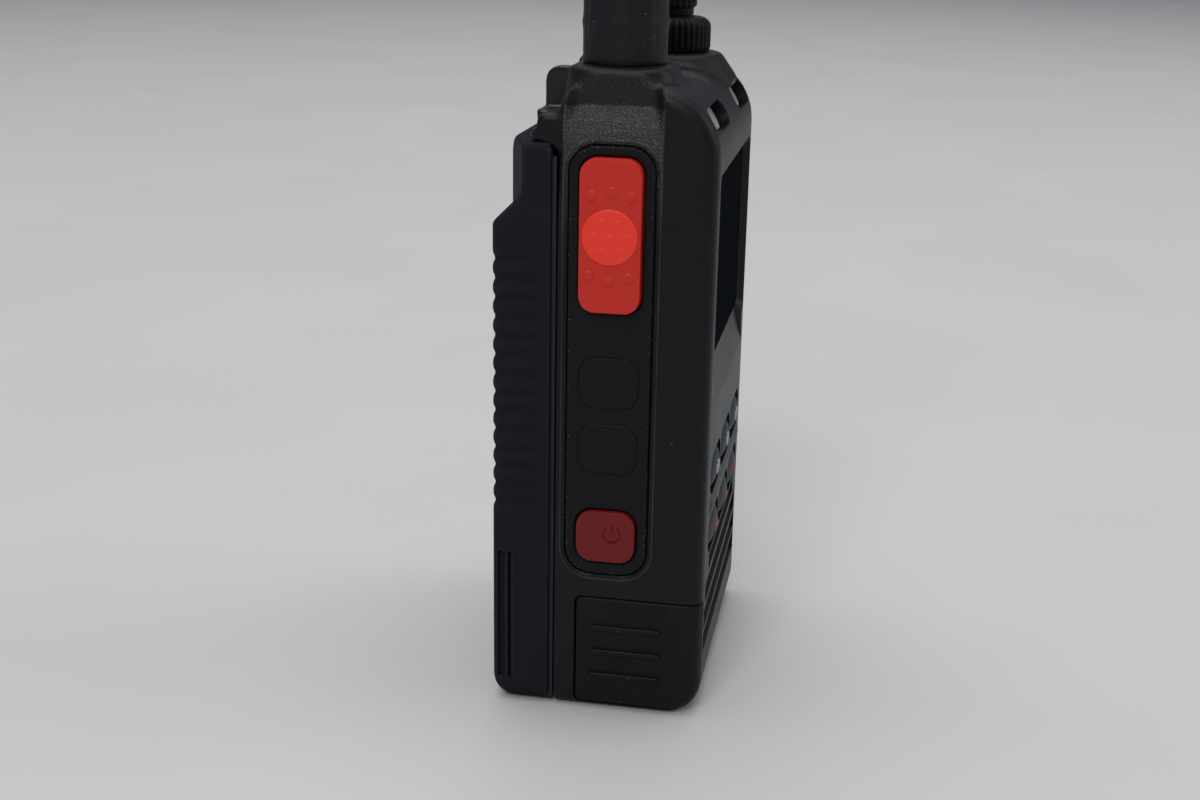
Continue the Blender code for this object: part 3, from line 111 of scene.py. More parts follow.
def carve(piece, cutter, operation="DIFFERENCE"):
    # the cutter is a shape, or a piece that is used up
    if isinstance(cutter, bmesh.types.BMesh):
        cutter = newPiece(piece.name + "Cutter", cutter)
    change = piece.modifiers.new("carve", "BOOLEAN")
    change.operation = operation
    change.solver = "MANIFOLD"
    change.object = cutter
    bake(piece)
    bpy.data.meshes.remove(cutter.data)  # its object goes with it


def soften(piece, passes, group=""):
    change = piece.modifiers.new("soften", "SMOOTH")
    change.factor = 0.5
    change.iterations = passes
    change.vertex_group = group
    return bake(piece)


def mould(piece, grid, passes):
    # a fine remesh and a few smoothing passes give the soft edges of a moulding
    remesh = piece.modifiers.new("mould", "REMESH")
    remesh.mode = "VOXEL"
    remesh.voxel_size = grid * mm
    bake(piece)
    return soften(piece, passes) if passes else piece


def fit(piece, body, slotName, material, *nodes, angle=40.0):
    # smooth shading with crisp creases, the finish, and the body that carries the piece
    piece.data.shade_smooth()
    piece.data.set_sharp_from_angle(angle=math.radians(angle))
    piece.data.materials.clear()
    piece.data.materials.append(material)
    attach(piece, body)
    if nodes:
        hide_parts(*nodes)


def ramp(value, start, length):
    return min(max((value - start) / length, 0), 1)


def runsAlong(edge, axis):
    return abs((edge.verts[1].co - edge.verts[0].co).normalized()[axis]) > 0.99


def lies(edge, axis, value):
    return all(abs(v.co[axis] - value * mm) < touch for v in edge.verts)


def ridge(shape, y, z):
    # the edges along X at one Y and Z
    return [e for e in shape.edges if runsAlong(e, 0) and lies(e, 1, y) and lies(e, 2, z)]


def bevelEdges(shape, edges, radius, segments):
    bmesh.ops.bevel(shape, geom=edges, offset=radius * mm, offset_type="OFFSET", segments=segments,
                    profile=0.5, affect="EDGES", clamp_overlap=False, material=-1)


def addBox(shape, low, high, axis=None, radius=0.0, segments=8):
    # corners in mm; the four edges along one axis may be rounded
    low = Vector(low) * mm
    high = Vector(high) * mm
    verts = bmesh.ops.create_cube(shape, size=1.0)["verts"]
    bmesh.ops.scale(shape, vec=high - low, verts=verts)
    bmesh.ops.translate(shape, vec=(low + high) / 2, verts=verts)
    if axis is not None:
        edges = {e for v in verts for e in v.link_edges if runsAlong(e, axis)}
        bevelEdges(shape, list(edges), radius, segments)


def addRod(shape, start, end, radius, segments=32, endRadius=None):
    start = Vector(start) * mm
    end = Vector(end) * mm
    turn = Vector((0, 0, 1)).rotation_difference(end - start).to_matrix().to_4x4()
    bmesh.ops.create_cone(shape, cap_ends=True, segments=segments, radius1=radius * mm,
                          radius2=(radius if endRadius is None else endRadius) * mm,
                          depth=(end - start).length, matrix=Matrix.Translation((start + end) / 2) @ turn)


def drawOut(shape, one, two):
    # a closed solid drawn out from one loop of corners to another, in mm
    near, far = ([shape.verts.new([c * mm for c in corner]) for corner in loop] for loop in (one, two))
    shape.faces.new(near)
    shape.faces.new(far[::-1])
    for a, b, c, d in zip(near, far, far[1:] + far[:1], near[1:] + near[:1]):
        shape.faces.new((a, b, c, d))
    bmesh.ops.recalc_face_normals(shape, faces=shape.faces)


def addPrism(shape, corners, near, far):
    # corners as X and Z in mm, with their own near and far Y
    drawOut(shape, *([(x, y, z) for (x, z), y in zip(corners, end)] for end in (near, far)))


def addRail(shape, corners, half, taper=0.0):
    # corners as Y and Z in mm, drawn out along X to both sides; the second corner may stop short
    reach = [half - taper * (i == 1) for i in range(len(corners))]
    drawOut(shape, *([(side * x, y, z) for x, (y, z) in zip(reach, corners)] for side in (-1, 1)))


def joinShape(shape, other):
    mesh = bpy.data.meshes.new("joined")
    other.to_mesh(mesh)
    other.free()
    shape.from_mesh(mesh)
    bpy.data.meshes.remove(mesh)


def addRim(shape, low, high, axis, radius, face, flare, depth, segments):
    # a chamfer cutter round an opening: wide at the face, and as wide as the opening at its depth
    clear, over = 0.02, 0.01
    rim = bmesh.new()
    lowEnd = [c - flare for c in low]
    highEnd = [c + flare for c in high]
    lowEnd[axis], highEnd[axis] = face, face + depth
    addBox(rim, lowEnd, highEnd, axis, radius + flare, segments)
    for v in rim.verts:
        if abs(v.co[axis] - face * mm) < touch:
            v.co[axis] -= clear * mm
            continue
        for i in {0, 1, 2} - {axis}:
            middle = (low[i] + high[i]) / 2 * mm
            reach = (high[i] - low[i]) / 2
            v.co[i] = middle + (v.co[i] - middle) * (reach + over) / (reach + flare)
    joinShape(shape, rim)


def turned(points, centre, axis, steps):
    # a line of points in mm, spun once round an axis through the centre
    shape = bmesh.new()
    verts = [shape.verts.new([c * mm for c in point]) for point in points]
    edges = [shape.edges.new(pair) for pair in zip(verts, verts[1:])]
    bmesh.ops.spin(shape, geom=verts + edges, cent=[c * mm for c in centre], axis=axis, dvec=(0, 0, 0),
                   angle=math.tau, steps=steps, use_merge=True)
    bmesh.ops.remove_doubles(shape, verts=shape.verts, dist=weld)
    bmesh.ops.recalc_face_normals(shape, faces=shape.faces)
    return shape


# Finishes

# the recess of the key strip, seen along X: it bounds a piece, its dust and the painted highlight round it
stripOutline = {"y": (-11.0, 4.5), "z": (27.2, 105.8), "corner": 5.0}
# dust on any plastic: its colour, and the share of specks that is only half there
specksOfDust = {"colour": "#8d8a84", "faint": 0.05}
roughDrift = (-0.05, 0.07)  # how far the roughness wanders from its middle


def addOutlineDistance(add, place):
    # how far a point lies outside the rounded outline of the key strip, in metres
    low, high = zip(stripOutline["y"], stripOutline["z"])
    corner = stripOutline["corner"]
    centre = [(a + b) / 2 * mm for a, b in zip(low, high)]
    reach = [((b - a) / 2 - corner) * mm for a, b in zip(low, high)]
    spot = place
    for operation, values in (("SUBTRACT", {1: (0.0, *centre)}), ("ABSOLUTE", {}),
                              ("SUBTRACT", {1: (1.0, *reach)}), ("MAXIMUM", {1: (0.0, 0.0, 0.0)})):
        spot = add("VectorMath", values, {0: spot}, operation=operation)
    length = add("VectorMath", {}, {0: spot}, operation="LENGTH")
    return add("Math", {1: corner * mm}, {0: length.outputs["Value"]}, operation="SUBTRACT")


def plasticFinish(name, look):
    # moulded plastic or rubber: fine grain, slow shade drift and a few specks of dust
    material, shader, add, place = startMaterial(name)
    grain = add("TexNoise", {"Scale": 1 / (look["grain"] * mm), "Detail": 3.0}, {"Vector": place})
    drift = add("TexNoise", {"Scale": 1 / (look["drift"] * mm), "Detail": 4.0}, {"Vector": place})
    tone = add("Mix", {"A": hexColour(look["dark"]), "B": hexColour(look["light"])}, {"Factor": drift},
               data_type="RGBA")
    specks = add("TexVoronoi", {"Scale": 1 / (look["dustSpacing"] * mm)}, {"Vector": place})
    near = add("MapRange",
               {"From Min": look["dustSize"] / look["dustSpacing"], "From Max": 0.0, "To Max": look["dust"]},
               {"Value": specks})
    chance = add("SeparateColor", {}, {"Color": specks.outputs["Color"]})
    rare, faint = 1 - look["dustShare"], specksOfDust["faint"]
    few = add("MapRange", {"From Min": rare - faint, "From Max": rare + faint}, {"Value": chance})
    if "rimDust" in look:
        # more dust along the outline of the key strip
        start, full = look["rimDust"]
        band = add("MapRange", {"From Min": start * mm, "From Max": full * mm},
                   {"Value": addOutlineDistance(add, place)})
        few = add("Math", {}, {0: few, 1: band}, operation="MAXIMUM")
    dust = add("Math", {}, {0: near, 1: few}, operation="MULTIPLY")
    layers = [(dust, specksOfDust["colour"])]
    if "paintedRimHighlight" in look:
        # painted highlight: the chamfered edge of the key strip's recess is painted lighter, where it catches
        # the light
        paintedRim = look["paintedRimHighlight"]
        offset = add("Math", {1: paintedRim["line"] * mm}, {0: addOutlineDistance(add, place)},
                     operation="SUBTRACT")
        apart = add("Math", {}, {0: offset}, operation="ABSOLUTE")
        line = add("MapRange", {"From Min": paintedRim["half"] * mm, "From Max": 0.0, "To Max": paintedRim["most"]},
                   {"Value": apart})
        across = add("SeparateXYZ", {}, {"Vector": place}).outputs["X"]
        talkSide = add("Math", {1: 0.0}, {0: across}, operation="LESS_THAN")
        for share in (talkSide, drift):
            line = add("Math", {}, {0: line, 1: share}, operation="MULTIPLY")
        layers.append((line, paintedRim["colour"]))
    if "edge" in look:
        # painted highlight: the sharpest outer edges are painted lighter, where rounded edges catch the light
        edge = look["edge"]
        corner = add("MapRange",
                     {"From Min": edge["start"], "From Max": edge["full"], "To Max": edge["most"]},
                     {"Value": add("NewGeometry", {}, {}).outputs["Pointiness"]})
        layers.append((corner, edge["colour"]))
    rough = add("MapRange",
                {"To Min": look["rough"] + roughDrift[0], "To Max": look["rough"] + roughDrift[1]},
                {"Value": drift})
    bump = add("Bump", {"Strength": look["bump"], "Distance": look["grain"] * mm}, {"Height": grain})
    if "zone" in look:
        # a zone of the piece has its own coarse grain, painted glints on its peaks and a stronger sheen; each
        # soft limit is an axis, where the zone starts, where it is full, and how much of it is left outside
        zone = look["zone"]
        axes = add("SeparateXYZ", {}, {"Vector": place})
        inside = None
        for axis, start, end, least in zone["limits"]:
            step = add("MapRange", {"From Min": start * mm, "From Max": end * mm, "To Min": least},
                       {"Value": axes.outputs[axis]}, interpolation_type="SMOOTHSTEP")
            if inside is not None:
                step = add("Math", {}, {0: inside, 1: step}, operation="MULTIPLY")
            inside = step
        coarse = add("TexNoise", {"Scale": 1 / (zone["grain"] * mm), "Detail": 2.0}, {"Vector": place})
        low, high = zone["peaks"]
        peaks = add("MapRange", {"From Min": low, "From Max": high}, {"Value": coarse})
        # painted glints: the peaks of the coarse grain are painted lighter where the panel glitters in the
        # light
        paintedGlint = add("Math", {}, {0: peaks, 1: inside}, operation="MULTIPLY")
        layers.append((paintedGlint, zone["paintedGlint"]))
        depth = add("Math", {}, {0: coarse, 1: inside}, operation="MULTIPLY")
        bump = add("Bump", {"Strength": zone["bump"], "Distance": zone["grain"] * mm},
                   {"Height": depth, "Normal": bump})
        gleam = add("MapRange", {"To Min": look["sheen"], "To Max": zone["sheen"]}, {"Value": inside})
        setNode(shader, {}, {"Specular IOR Level": gleam})
    if "disc" in look:
        # the raised disc of the button is worn to a brighter shade
        disc = look["disc"]
        away = add("VectorMath", {1: tuple(c * mm for c in disc["centre"])}, {0: place},
                   operation="DISTANCE")
        inside = add("MapRange",
                     {"From Min": disc["radius"] * mm, "From Max": (disc["radius"] - disc["blur"]) * mm},
                     {"Value": away.outputs["Value"]})
        layers.append((inside, disc["colour"]))
    colour = tone
    for share, code in layers:
        colour = add("Mix", {"B": hexColour(code)}, {"Factor": share, "A": colour.outputs["Result"]},
                     data_type="RGBA")
    setNode(shader, {"IOR": look["ior"], "Specular IOR Level": look["sheen"]},
            {"Base Color": colour.outputs["Result"], "Roughness": rough, "Normal": bump})
    return material


toolMarks = {"spread": 0.08, "bump": 0.15}


def metalFinish(name, dark, light, rough, scratch):
    # bare metal: even colour with fine tool marks that spread the highlight
    material, shader, add, place = startMaterial(name)
    marks = add("TexNoise", {"Scale": 1 / (scratch * mm), "Detail": 5.0}, {"Vector": place})
    tone = add("Mix", {"A": hexColour(dark), "B": hexColour(light)}, {"Factor": marks}, data_type="RGBA")
    spread = add("MapRange", {"To Min": rough - toolMarks["spread"], "To Max": rough + toolMarks["spread"]},
                 {"Value": marks})
    bump = add("Bump", {"Strength": toolMarks["bump"], "Distance": scratch * mm}, {"Height": marks})
    setNode(shader, {"Metallic": 1.0},
            {"Base Color": tone.outputs["Result"], "Roughness": spread, "Normal": bump})
    return material


# black ABS from a spark-eroded mould: near black, with a dull sheen broken by fine grain
absLook = {"dark": "#0b0c0f", "light": "#111316", "grain": 0.35, "drift": 14.0, "bump": 0.25, "rough": 0.42,
           "ior": 1.50, "sheen": 0.20, "dust": 0.8, "dustSpacing": 5.0, "dustSize": 0.2, "dustShare": 0.6}
# the housing has a painted highlight round the key strip's recess; its side panel comes from a coarser part of
# the mould, which glitters, and painted glints on the grain's peaks stand in for that glitter of light
housingLook = {**absLook, "paintedRimHighlight": {"line": 0.72, "half": 0.18, "most": 1.5, "colour": "#3a3c40"},
               "zone": {"limits": (("X", -26.2, -27.0, 0.0), ("Y", -12.1, -11.7, 0.0), ("Y", 5.7, 5.3, 0.0),
                                   ("Z", 86.0, 107.0, 0.0), ("Z", 118.4, 115.5, 0.0),
                                   ("Z", 112.2, 111.3, 0.25)),
                        "grain": 0.33, "peaks": (0.54, 0.66), "paintedGlint": "#42464a", "bump": 1.0, "sheen": 0.55}}
# black silicone rubber: duller than the ABS, and it holds more dust
rubberLook = {"dark": "#0d0e10", "light": "#121316", "grain": 0.22, "drift": 9.0, "bump": 0.18, "rough": 0.50,
              "ior": 1.43, "sheen": 0.20, "dust": 0.85, "dustSpacing": 1.7, "dustSize": 0.17, "dustShare": 0.6}
# dyed silicone of the talk button: clear red with a soft satin sheen
redLook = {"dark": "#c22b22", "light": "#ca3127", "grain": 0.25, "drift": 6.0, "bump": 0.12, "rough": 0.46,
           "ior": 1.43, "sheen": 0.30, "dust": 0.25, "dustSpacing": 4.0, "dustSize": 0.12, "dustShare": 0.6}
talkLook = {**redLook, "disc": {"centre": (-31.8, -3.25, 90.2), "radius": 4.95, "blur": 0.15,
                                "colour": "#ee3d2d"}}
# the power key is a darker dye of the same silicone, and the front keys are a slate grey with less sheen
darkRedLook = {**redLook, "dark": "#671516", "light": "#731819", "dust": 0.4}
greyLook = {**redLook, "dark": "#2b3138", "light": "#343b43", "grain": 0.2, "drift": 5.0, "bump": 0.15,
            "rough": 0.45, "sheen": 0.10, "dust": 0.2}
# the lacquer of the boards, the printed film round the cells and the milky acrylic of the lenses are smooth
# and clean, so they shine more than the mouldings
boardLook = {**absLook, "dark": "#164a2a", "light": "#1d5c35", "grain": 0.6, "drift": 3.0, "bump": 0.1,
             "sheen": 0.5, "dust": 0.0, "dustSpacing": 4.0, "dustSize": 0.1}
wrapLook = {**boardLook, "dark": "#31507f", "light": "#3d6296", "rough": 0.35}
lensLook = {**boardLook, "dark": "#b4b4ad", "light": "#c8c8c1", "rough": 0.22, "bump": 0.04}


# tempered window: black behind, with a clean polished face
glassLook = {"dark": "#121416", "light": "#191c1f", "smear": 18.0, "rough": (0.26, 0.36), "ior": 1.52,
             "sheen": 0.0}


def glassFinish():
    material, shader, add, place = startMaterial("tintedGlass")
    smear = add("TexNoise", {"Scale": 1 / (glassLook["smear"] * mm), "Detail": 3.0}, {"Vector": place})
    least, most = glassLook["rough"]
    rough = add("MapRange", {"To Min": least, "To Max": most}, {"Value": smear})
    tone = add("Mix", {"A": hexColour(glassLook["dark"]), "B": hexColour(glassLook["light"])},
               {"Factor": smear}, data_type="RGBA")
    setNode(shader, {"IOR": glassLook["ior"], "Specular IOR Level": glassLook["sheen"]},
            {"Base Color": tone.outputs["Result"], "Roughness": rough})
    return material


finishes = {
    "black_abs": plasticFinish("blackAbs", absLook),
    "black_rubber": plasticFinish("blackRubber", rubberLook),
    "red_rubber": plasticFinish("redSilicone", talkLook),
    "dark_red_rubber": plasticFinish("darkRedSilicone", darkRedLook),
    "grey_silicone": plasticFinish("greySilicone", greyLook),
    "black_glass": glassFinish(),
    "pale_lens": plasticFinish("milkyAcrylic", lensLook),
    "die_cast_aluminium": metalFinish("dieCastAluminium", "#9a9b9d", "#b5b6b8", 0.45, 0.8),
    "green_board": plasticFinish("solderMask", boardLook),
    "steel": metalFinish("platedSteel", "#a8a9ab", "#c0c1c3", 0.32, 0.4),
    "brass": metalFinish("turnedBrass", "#b8974f", "#cfae66", 0.30, 0.3),
    "gold_plate": metalFinish("goldPlate", "#cfa54a", "#e0ba62", 0.25, 0.3),
    "cell_wrap": plasticFinish("cellWrap", wrapLook),
}
slotOf = {row["node"]: row["material_slot"] for row in frame["record"]["subparts"]}
for nodeName, node in frame["nodes"].items():
    node.data.materials.clear()
    node.data.materials.append(finishes[slotOf[nodeName]])
housingAbs = plasticFinish("coarseAbs", housingLook)
# the antenna's rubber has greyed a little in use
aerialRubber = plasticFinish("greyedRubber", {**rubberLook, "dark": "#18191c", "light": "#1e1f22"})
# dust has settled along both edges of the key strip
stripRubber = plasticFinish("dustyRubber", {**rubberLook, "dustSpacing": 0.7, "dustSize": 0.13,
                                            "dustShare": 0.06, "rimDust": (-1.0, -0.7)})
# the latch is moulded in a polished tool, so its flanks mirror the light around it
latchAbs = plasticFinish("satinAbs", {**absLook, "rough": 0.30, "sheen": 0.4, "bump": 0.08})
# the battery is moulded in a duller grade than the housing, and its sharpest edges get a painted highlight
batteryEdgeHighlight = {"start": 0.515, "full": 0.58, "most": 0.6, "colour": "#34363a"}
batteryAbs = plasticFinish("dullAbs", {**absLook, "dark": "#1b1c1f", "light": "#222327", "sheen": 0.03,
                                       "rough": 0.6, "edge": batteryEdgeHighlight})
print("finishes on", len(frame["nodes"]), "solids")


# Camera, floor and light

view = {"yaw": 10.25, "pitch": 17.59, "roll": 1.04, "lens": 47.406, "sensor": 36.0, "nearest": 0.01,
        "place": (-291.4, -49.1, 145.0)}


def addCamera():
    yaw, pitch, roll = (math.radians(view[k]) for k in ("yaw", "pitch", "roll"))
    quarter = math.pi / 2
    turn = (Matrix.Rotation(yaw - quarter, 4, "Z") @ Matrix.Rotation(quarter - pitch, 4, "X")
            @ Matrix.Rotation(roll, 4, "Z"))
    data = bpy.data.cameras.new("photoCamera")
    data.sensor_fit = "HORIZONTAL"
    data.sensor_width = view["sensor"]
    data.lens = view["lens"]
    data.clip_start = view["nearest"]
    camera = bpy.data.objects.new("photoCamera", data)
    camera.matrix_world = Matrix.Translation(Vector(view["place"]) * mm) @ turn
    bpy.context.scene.collection.objects.link(camera)
    bpy.context.scene.camera = camera


studio = {"floor": "#c3c3c3", "floorDark": "#b9b9b9", "floorHalf": 3.0, "cloud": 111.111, "floorRough": 0.7,
          "world": "#d3dce6", "worldStrength": 0.22,
          "lamps": (("overhead", (0.3, 0.2, 2.2), (0.1, 0, 0), 2.4, 42.0),
                    ("frontSide", (0.5, -1.6, 0.9), (0, 0, 0.07), 1.2, 8.0),
                    ("cameraSide", (-1.4, 0.1, 1.3), (0, 0, 0.07), 0.7, 14.0),
                    ("farFloor", (2.3, 0.4, 1.3), (2.3, 0.4, 0.0), 1.6, 2.5))}


def addStudio():
    shape = bmesh.new()
    bmesh.ops.create_grid(shape, x_segments=1, y_segments=1, size=studio["floorHalf"])
    floor = newPiece("floor", shape)
    material, shader, add, place = startMaterial("paleFloor")
    cloud = add("TexNoise", {"Scale": 1 / (studio["cloud"] * mm), "Detail": 3.0}, {"Vector": place})
    tone = add("Mix", {"A": hexColour(studio["floorDark"]), "B": hexColour(studio["floor"])},
               {"Factor": cloud}, data_type="RGBA")
    setNode(shader, {"Roughness": studio["floorRough"]}, {"Base Color": tone.outputs["Result"]})
    floor.data.materials.append(material)
    world = bpy.data.worlds.new("softRoom")
    world.use_nodes = True
    back = world.node_tree.nodes["Background"]
    back.inputs["Color"].default_value = hexColour(studio["world"])
    back.inputs["Strength"].default_value = studio["worldStrength"]
    bpy.context.scene.world = world
    for name, place, target, size, power in studio["lamps"]:
        data = bpy.data.lights.new(name, "AREA")
        data.shape = "SQUARE"
        data.size = size
        data.energy = power
        lamp = bpy.data.objects.new(name, data)
        lamp.location = place
        lamp.rotation_euler = (Vector(target) - Vector(place)).to_track_quat("-Z", "Y").to_euler()
        bpy.context.scene.collection.objects.link(lamp)
    bpy.context.scene.view_settings.view_transform = "Standard"


addCamera()
addStudio()
print("camera and studio")

# Housing: the deep black shell with its antenna collar, knob mound and rear ledge

# all in mm; values that stand in a group get their names where they are used
shell = {"half": 30.0, "front": -21.3, "back": 6.3, "top": 115.5, "wall": 2.2, "topFront": 12.0,
         "bottomFront": 6.5, "topBack": 4.2, "side": 2.6, "grid": 0.55, "passes": 3, "through": 3.2,
         "opening": ((-28.2, 3.8, 1.8), (28.2, 7.3, 104.3))}
collar = {"x": (-27.4, -8.9), "y": (-12.1, 6.1), "foot": 111.5, "top": 118.2, "corner": 5.6, "edge": 1.3,
          "flare": (1.3, 1.08)}
# the coarse side panel leans in under the collar; corners as X and Z, edges as Y at its foot and head
panel = {"corners": ((-31.5, 103.0), (-30.02, 105.0), (-29.6, 107.8), (-28.7, 110.1), (-27.5, 111.3),
                     (-27.2, 121.0), (-31.5, 121.0)),
         "foot": (-11.5, 5.3), "head": (-11.2, 4.4), "rise": (106, 6), "slant": 0.5, "middle": -29.2,
         "backing": ((-31, -15, 107.5), (-25.6, 6.3, 118))}
mound = {"centre": (15.0, -6.9), "top": 117.6, "topRadius": 8.9, "footRadius": 12.6, "foot": 112.5}
valley = {"x": -2.6, "y": (-30.0, 1.0), "z": 120.9, "radius": 7.4}
# fillets of the head: where they start, how the collar's rim stays crisper, and the rear too
fillets = {"start": (104, 5), "rim": (116.2, 1.2, 0.7), "rear": (4.5, 0.25), "passes": 4}
shaftHoles = {"centres": ((-18.0, -3.0), mound["centre"]), "z": (112.3, 119.5), "radius": 4.3}
ledge = {"half": 29.6, "back": 11.9, "z": (105.8, 107.3), "corner": 3.0, "shoulder": (20.6, 10.1, 110.5, 1.2),
         "wedge": (5.0, (104.75, 7.0), (106.2, 11.2))}
screws = {"x": (-21.0, 21.0), "z": 7.5, "y": (-0.2, 4.8), "radius": 1.4, "post": (3.0, -1.2, 11.0)}
lens = {"x": 17.0, "half": 9.0, "high": 2.1, "corner": 1.9, "turn": 30.6, "sink": 2.15, "back": 2.5,
        "slotBack": 3.5, "gap": 0.3}
strip = {**stripOutline, "floor": -28.5, "shelf": 1.25, "rim": (0.8, 0.45), "gap": 0.3, "x": (-29.9, -28.8),
         "through": -27.0, "grid": 0.35}
cover = {"front": -23.0, "back": 2.0, "z": (1.2, 22.6), "outer": -31.0, "inner": -27.5, "corner": 1.2,
         "gap": 0.3, "wall": -25.0, "grid": 0.32}
window = {"half": 26.0, "z": (65.5, 100.4), "front": -19.8, "back": -19.4, "corner": 0.6, "edge": 0.3,
          "seat": (0.3, 1.4, 0.8), "bezel": (25.2, 66.2, 99.5, 1.2, 1.45), "slope": (58.6, 1.5, 0.5, 4.0)}
keyRows = {"x": (-16.2, 0.0, 16.2), "z": (45.2, 33.7), "size": (14.2, 6.2), "corner": 2.6, "proud": 0.5,
           "margin": 0.7, "sink": 1.7, "gap": 0.3, "crown": 1.25, "crownPower": 3, "crownReach": 0.6,
           "bar": (23.4, 0.95, 0.55, 0.9), "flange": (2.5, 3.5, 0.7), "root": 3.0, "grid": 0.28}
keyPlaces = [(x, z) for z in keyRows["z"] for x in keyRows["x"]]
grille = {"half": 17.0, "z": (27.0, 22.15, 17.3, 12.45), "high": 0.3, "foot": (0.2, 0.5), "below": 0.8,
          "deep": 0.7, "louvers": ((21.0, 2.4), (25.0, 3.2), (26.0, 3.2), (26.0, 3.2)),
          "microphone": (23.4, 26.1, 0.6)}
latch = {"foot": (20.0, 6.6, 12.2, 108.2, 109.8), "tab": (16.0, 6.6, 11.4, 117.0), "corner": 2.4,
         "dish": (13.4, 3.4), "tongue": (4.0, 4.1, 110.8, 112.8), "tongueGap": (4.3, 3.1, 7.3, 109.9, 113.1),
         "springs": (10.0, 9.0, 112.75, 1.65), "travel": (20.4, 6.4, 14.4, 107.4, 112.0), "grid": 0.3}
jacks = {"x": (-28.5, -24.0), "y": -8.0, "z": (6.4, 16.9), "radius": 3.3}


def bodyForm():
    shape = bmesh.new()
    half, front, back, top = (shell[k] for k in ("half", "front", "back", "top"))
    addBox(shape, (-half, front, 0), (half, back, top))
    for y, z, radius, segments in ((front, top, shell["topFront"], 20), (front, 0, shell["bottomFront"], 12),
                                   (back, top, shell["topBack"], 10)):
        bevelEdges(shape, ridge(shape, y, z), radius, segments)
    outline = [e for e in shape.edges if (lies(e, 0, -half) or lies(e, 0, half)) and not lies(e, 1, back)]
    bevelEdges(shape, outline, shell["side"], 8)
    return shape


def addLens(shape, x, near, far, margin):
    # a status lens or its slot, turned about the middle of the front shoulder
    start = len(shape.verts)
    half, high = lens["half"] + margin, lens["high"] + margin
    addBox(shape, (x - half, -far, -high), (x + half, -near, high), 1, lens["corner"] + margin, 10)
    shape.verts.ensure_lookup_table()
    middle = Vector((0, shell["front"] + shell["topFront"], shell["top"] - shell["topFront"])) * mm
    turn = Matrix.Rotation(math.radians(-lens["turn"]), 4, "X")
    bmesh.ops.transform(shape, matrix=Matrix.Translation(middle) @ turn, verts=shape.verts[start:])


def addKey(shape, x, z, near, far, margin):
    wide, high = (size / 2 + margin for size in keyRows["size"])
    addBox(shape, (x - wide, near, z - high), (x + wide, far, z + high), 1, keyRows["corner"] + margin, 8)


def addStrip(shape, near, far, margin, segments):
    (front, back), (low, high) = strip["y"], strip["z"]
    addBox(shape, (near, front + margin, low + margin), (far, back - margin, high - margin), 0,
           strip["corner"] - margin, segments)


def housingForm():
    shape = bodyForm()
    rim = bmesh.new()
    low, high = zip(collar["x"], collar["y"], (collar["foot"], collar["top"]))
    addBox(rim, low, high, 2, collar["corner"], 16)
    bevelEdges(rim, [e for e in rim.edges if lies(e, 2, collar["top"])], collar["edge"], 5)
    middle = sum(collar["y"]) / 2 * mm
    for v in rim.verts:
        # the collar widens towards its foot, most of all at the front
        if v.co.z < shell["top"] * mm:
            v.co.y = middle + (v.co.y - middle) * collar["flare"][v.co.y >= middle]
    joinShape(shape, rim)
    addRod(shape, *((*mound["centre"], mound[end]) for end in ("foot", "top")), mound["footRadius"], 96,
           mound["topRadius"])
    half, (foot, head) = ledge["half"], ledge["z"]
    plate = bmesh.new()
    addBox(plate, (-half, 0, foot), (half, ledge["back"], head))
    bevelEdges(plate, [e for e in plate.edges if runsAlong(e, 2) and lies(e, 1, ledge["back"])],
               ledge["corner"], 8)
    joinShape(shape, plate)
    near, (low, lowBack), (high, highBack) = ledge["wedge"]
    addPrism(shape, ((-half, low), (half, low), (half, high), (-half, high)), (near,) * 4,
             (lowBack, lowBack, highBack, highBack))
    near, back, top, edge = ledge["shoulder"]
    for side in (-1, 1):
        block = bmesh.new()
        ends = sorted((side * near, side * half))
        addBox(block, (ends[0], 0, foot + 0.5), (ends[1], back, top))
        bevelEdges(block, ridge(block, back, top), edge, 6)
        joinShape(shape, block)
    half, high, proud, corner = keyRows["bar"]
    middle, front = sum(keyRows["z"]) / 2, shell["front"]
    addBox(shape, (-half, front - proud, middle - high), (half, front + 1, middle + high), 1, corner, 6)
    return mould(newPiece("housingShell", shape), shell["grid"], 0)


def shapeHead(piece):
    lean = bmesh.new()
    rises = [ramp(z, *panel["rise"]) for _, z in panel["corners"]]
    slants = [panel["slant"] * (x - panel["middle"]) for x, _ in panel["corners"]]
    ends = [[foot + rise * (head - foot) + side * slant for rise, slant in zip(rises, slants)]
            for foot, head, side in zip(panel["foot"], panel["head"], (1, -1))]
    addPrism(lean, panel["corners"], *ends)
    carve(piece, lean)
    trough = bmesh.new()
    addRod(trough, *((valley["x"], y, valley["z"]) for y in valley["y"]), valley["radius"], 96)
    carve(piece, trough)
    mould(piece, shell["grid"], shell["passes"])
    group = piece.vertex_groups.new(name="head")
    rimStart, rimLength, crisp = fillets["rim"]
    rear, rearShare = fillets["rear"]
    for v in piece.data.vertices:
        _, y, z = v.co / mm
        weight = ramp(z, *fillets["start"]) * (1 - crisp * ramp(z, rimStart, rimLength))
        group.add([v.index], weight * (rearShare if y > rear else 1), "REPLACE")
    soften(piece, fillets["passes"], "head")
    piece.vertex_groups.clear()


